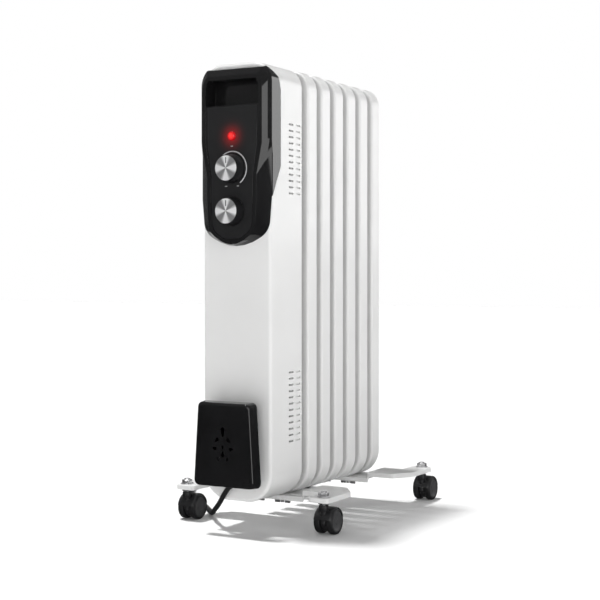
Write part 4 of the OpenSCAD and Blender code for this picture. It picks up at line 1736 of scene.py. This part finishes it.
@dataclass
class WinderCover:
    """The glossy plate that keeps the wound cord in front of the housing's foot."""

    foot_w: float = 101.0
    top_w: float = 86.0
    draft: float = 0.925
    front_y: float = 1.2
    rear_y: float = 4.0
    lip: float = 3.0
    wall: float = 2.2

    def holes(self, y: float, mid_z: float) -> list[Bench]:
        """The tools for the small openings in its middle.

        Args:
            y: the plate's front.
            mid_z: its middle height.

        Returns:
            The cutting pieces.
        """
        def slot(x: float, z: float, r: float, length: float, lean: float) -> Bench:
            """A drop-shaped cutter, wider at its head.

            Args:
                x: its head's place across.
                z: its head's height.
                r: its head's radius.
                length: how far its tail reaches.
                lean: how far it is turned.

            Returns:
                The bench with the cutter on it.
            """
            tool = Bench.drum("slot", r, 8, (x, y, z), Axis.Y, sides=24)
            with tool.edit():
                tool.pick(Part.CORNERS, lambda p, n: p.z < z - 0.1)
                tool.stretch((0.72, 1, 1 + length / r), (x, y, z))
            return tool.turn((x, y, z), lean, "Y")

        tools = [slot(0, mid_z + 20, 3.6, 5.5, 0), slot(0, mid_z - 13, 3.2, 1.5, math.pi)]
        for side in (-1, 1):
            tools.append(slot(side * 8.5, mid_z + 7, 2.5, 2.2, side * math.radians(-50)))
            tools.append(slot(side * 12, mid_z - 5, 2.5, 2.0, side * math.radians(-100)))
            tools.append(slot(side * 7.5, mid_z - 18, 1.5, 2.0, side * math.radians(30)))
        tools.append(slot(0, mid_z - 2, 1.9, 2.0, 0))
        return tools

    def build(self, finishes: Finishes) -> None:
        """Builds the cover.

        Args:
            finishes: the heater's finishes.
        """
        lo, hi = low("winder_plate"), high("winder_plate")
        face_y, back_y = lo.y + self.front_y, hi.y + self.rear_y
        bench = Bench.plate("winder_cover", self.foot_w, lo.z - 1.5, hi.z + 1.5, back_y)
        with bench.edit():
            bench.pick(Part.CORNERS, lambda p, n: p.z > hi.z - 1)
            bench.stretch((self.top_w / self.foot_w, 1, 1), (0, back_y, hi.z))
        bench.round_corners(6.5, lambda p, n: p.z > hi.z - 1, 8)
        bench.round_corners(9, lambda p, n: p.z < lo.z + 1, 8)
        with bench.edit():
            bench.pick(Part.FACES, anywhere)
            bench.pull((0, face_y - back_y, 0))
            bench.stretch((self.draft, 1, 0.985), (0, face_y, (lo.z + hi.z) / 2))
            bench.pick(Part.FACES, lambda p, n: abs(p.y - back_y) < 0.1)
            bpy.ops.mesh.delete(type="FACE")
        bench.outward()
        bench.round_edges(self.lip, lambda p, d: abs(p.y - face_y) < 0.1, 2)
        bench.soften(1.0, 3, 20).thicken(self.wall)
        bench.cut(*self.holes(face_y, (lo.z + hi.z) / 2)).smooth(40).even()
        bench.done(finishes.gloss, Slot.GLOSS, replaces=["winder_plate"])


# ---- feet and casters ----


@dataclass
class Feet:
    """Two pressed steel brackets under the fins, with the stems of the casters in their ears."""

    sheet: float = 1.5
    lip: float = 7.0
    pad_z: float = 51.0
    cradle_x: float = 60.0
    ear: tuple[float, float] = (92.0, 122.0)
    ear_reach: float = 42.0
    wing: tuple[float, float] = (31.0, 86.0)
    chamfer: tuple[float, float] = (21.0, 31.0)

    def bracket(self, name: str, stem_y: float, inwards: int) -> Bench:
        """One bracket, modelled as its right half and mirrored.

        Args:
            name: the piece's name.
            stem_y: where its stems stand.
            inwards: 1 where the fins are behind it, -1 where they are in front.

        Returns:
            The bench with the bracket on it.
        """
        near, far = (stem_y + inwards * v for v in self.wing)
        x0, x1 = self.ear
        y0, y1 = min(near, far), max(near, far)
        bench = Bench.sheet(name, self.cradle_x, x0, y0, y1, self.pad_z)
        cx, cy = self.chamfer
        with bench.edit():
            bench.pick_rim(lambda p, d: p.x > x0 - 0.1)
            bench.pull_edges((x1 - x0, 0, 0))
            bench.pick_rim(lambda p, d: p.x > x0 + 1 and abs(p.y - near) < 0.1)
            bench.pull_edges((0, -inwards * self.ear_reach, 0))
            bpy.ops.mesh.select_all(action="SELECT")
            bench.slice((x1, far - inwards * cy, 0), (cy, inwards * cx, 0), drop=True)
        tip = near - inwards * self.ear_reach
        bench.round_corners(5, lambda p, n: (
            (abs(p.y - tip) < 0.1) or (p.x > x1 - cx - 1 and abs(p.y - near) > 0.1)), 5)
        drop = self.pad_z - low("control_housing").z
        with bench.edit():
            bench.pick_rim(lambda p, d: p.x < self.cradle_x + 0.1)
            bench.pull_edges((0, 0, -drop))
            bench.pull_edges((-self.cradle_x, 0, 0))
            bench.pick_rim(lambda p, d: abs(d.z) < 0.1 and p.x > 0.5)
            bench.pull_edges((0, 0, -self.lip))
        bench.soften(1.9, 4, 40)
        bench.modify("MIRROR", use_axis=(True, False, False), merge_threshold=0.05 * MM)
        return bench.thicken(self.sheet)

    def stems(self) -> list[Vector]:
        """Where the four stems stand.

        Returns:
            Their places on the floor.
        """
        spots = []
        for corner in ("fl", "fr", "rl", "rr"):
            axle = middle(f"axle_{corner}")
            spots.append(Vector((axle.x, axle.y - Casters.trail, 0)))
        return spots

    def build(self, finishes: Finishes) -> None:
        """Builds the brackets, stems and nuts.

        Args:
            finishes: the heater's finishes.
        """
        spots = self.stems()
        for end, spot, inwards in (("front", spots[0], 1), ("rear", spots[2], -1)):
            node = f"{end}_foot_bracket"
            bench = self.bracket(f"{end}_bracket", spot.y, inwards)
            bench.smooth(40).even().done(finishes.paint, Slot.WHITE, replaces=[node])
        nuts, shanks = [], []
        for spot in spots:
            top = spot + Vector((0, 0, self.pad_z))
            washer = Bench.drum("washer", 9, 1.2, top + Vector((0, 0, 0.6)), Axis.Z).soften(0.3, 2)
            nut = Bench.drum("nut", 7.5, 5, top + Vector((0, 0, 3.7)), Axis.Z, sides=6).soften(0.7, 3)
            nuts.append(nut.join(washer))
            rod = Bench.drum("rod", 3.7, 9, top + Vector((0, 0, 3.5)), Axis.Z, sides=32).soften(0.8, 2)
            threads = [
                Bench.drum("thread", 4, 0.7, top + Vector((0, 0, 6.3 + 1.0 * i)), Axis.Z, sides=32)
                .soften(0.25, 1) for i in range(2)
            ]
            collar = Bench.drum("collar", 7.5, 8, spot + Vector((0, 0, 45.4)), Axis.Z).soften(0.8, 3)
            pivot = Bench.drum("pivot", 3, 24, spot + Vector((0, 0, 29)), Axis.Z, sides=32)
            shanks.append(rod.join(collar, pivot, *threads))
        for name, node, benches in (("stem_nut_set", "stem_nuts", nuts),
                                    ("caster_stem_set", "caster_stems", shanks)):
            benches[0].piece.name = name
            benches[0].join(*benches[1:]).smooth(40).done(finishes.zinc, Slot.ZINC, replaces=[node])


@dataclass
class Casters:
    """Four twin-wheel casters: a moulded hood over two treaded wheels with pale hub discs."""

    trail: float = 13.0
    wheel_r: float = 17.0
    wheel_w: float = 9.1
    hood_r: float = 19.5
    hood_half: float = 13.6
    web: float = 9.0
    hood_z: float = 40.0

    def hood(self, corner: str) -> Bench:
        """The hood of one caster.

        Args:
            corner: which caster.

        Returns:
            The bench with the hood on it.
        """
        axle = middle(f"axle_{corner}")
        cover = Bench.drum(f"hood_{corner}", self.hood_r, 2 * self.hood_half, axle, Axis.X, sides=72)
        cover.soften(3.2, 4)
        below = Bench.block("below", (60, 60, 30), axle + Vector((0, 0, 3.5 - 15)))
        for side in (-1, 1):
            at = axle + Vector((side * (self.web / 2 + 15), 0, 0))
            cover.cut(Bench.drum("room", self.hood_r - 1.5, 30, at, Axis.X, sides=72))
        cover.cut(below).soften(0.5, 2, 40)
        core = Bench.drum("core", 14, self.web, axle, Axis.X).soften(1, 2)
        boss = Bench.drum("boss", 6.6, 8, (axle.x, axle.y - self.trail, self.hood_z - 4), Axis.Z)
        boss.soften(0.8, 3)
        stalk = Bench.drum("stalk", self.web / 2, 22, (axle.x, axle.y - self.trail, 26), Axis.Z,
                           sides=40)
        return cover.join(core, boss, stalk).smooth(40)

    def wheel(self, corner: str, side: str) -> tuple[Bench, Bench]:
        """One wheel and its hub disc.

        Args:
            corner: which caster.
            side: "left" or "right".

        Returns:
            The benches with the tread and the disc on them.
        """
        at = middle(f"wheel_{corner}_{side}")
        out = 1 if side == "right" else -1
        tread = Bench.drum(f"tread_{corner}_{side}", self.wheel_r, self.wheel_w, at, Axis.X, sides=72)
        tread.soften(2.0, 4, 40)
        with tread.edit():
            tread.pick(Part.FACES, lambda p, n: n.x * out > 0.95)
            tread.inset(0.9)
            tread.pull((-out * 0.9, 0, 0))
        face = at.x + out * self.wheel_w / 2
        disc = Bench.drum(f"hub_{corner}_{side}", 13.6, 1.2, (face - out * 0.8, at.y, at.z), Axis.X,
                          sides=64).soften(0.4, 2)
        with disc.edit():
            disc.pick(Part.FACES, lambda p, n: n.x * out > 0.95)
            disc.inset(1.6)
            disc.inset(0.5, -0.35)
            disc.inset(7.2)
            disc.inset(0.4, 0.35)
        return tread.smooth(40), disc.smooth(40)

    def build(self, finishes: Finishes) -> None:
        """Builds the four casters.

        Args:
            finishes: the heater's finishes.
        """
        for corner in ("fl", "fr", "rl", "rr"):
            self.hood(corner).done(
                finishes.caster, Slot.CASTER, f"caster_{corner}", [f"caster_hood_{corner}"])
            for side in ("left", "right"):
                body = f"roller_{corner}_{side}"
                tread, disc = self.wheel(corner, side)
                tread.done(finishes.wheel, Slot.WHEEL, body, [f"wheel_{corner}_{side}"])
                disc.done(finishes.hub, Slot.WHEEL, body)


# ---- what keeps its CAD shape ----


def dress_frame(finishes: Finishes) -> None:
    """Gives every CAD node its material, those that stay hidden included.

    Args:
        finishes: the heater's finishes.
    """
    by_slot = {
        "white_paint": finishes.paint, "zinc_steel": finishes.zinc, "gloss_black": finishes.gloss,
        "panel_black": finishes.panel, "satin_black": finishes.satin,
        "spun_aluminium": finishes.zinc, "cream_plastic": finishes.cream,
        "red_lens": finishes.lens, "brown_phenolic": finishes.phenolic, "brass": finishes.brass,
        "wire_insulation": finishes.sleeve, "cord_black": finishes.rubber,
        "caster_black": finishes.caster, "wheel_black": finishes.wheel,
    }
    for row in frame["record"]["subparts"]:
        node = frame["nodes"][row["node"]]
        node.data.materials.clear()
        node.data.materials.append(by_slot[row["material_slot"]])


def main() -> None:
    """Builds the studio and the heater, piece by piece."""
    logging.basicConfig(level=logging.INFO, format="%(name)s: %(message)s")
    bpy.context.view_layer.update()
    studio = Studio()
    studio.camera()
    finishes = Finishes.mixed()
    for assembly in (MainsCord(), FinStack(), Housing(), Bezel(), ControlPanel(), WinderCover(),
                     Feet(), Casters()):
        assembly.build(finishes)
    dress_frame(finishes)
    studio.build()


if __name__ == "__main__":
    main()
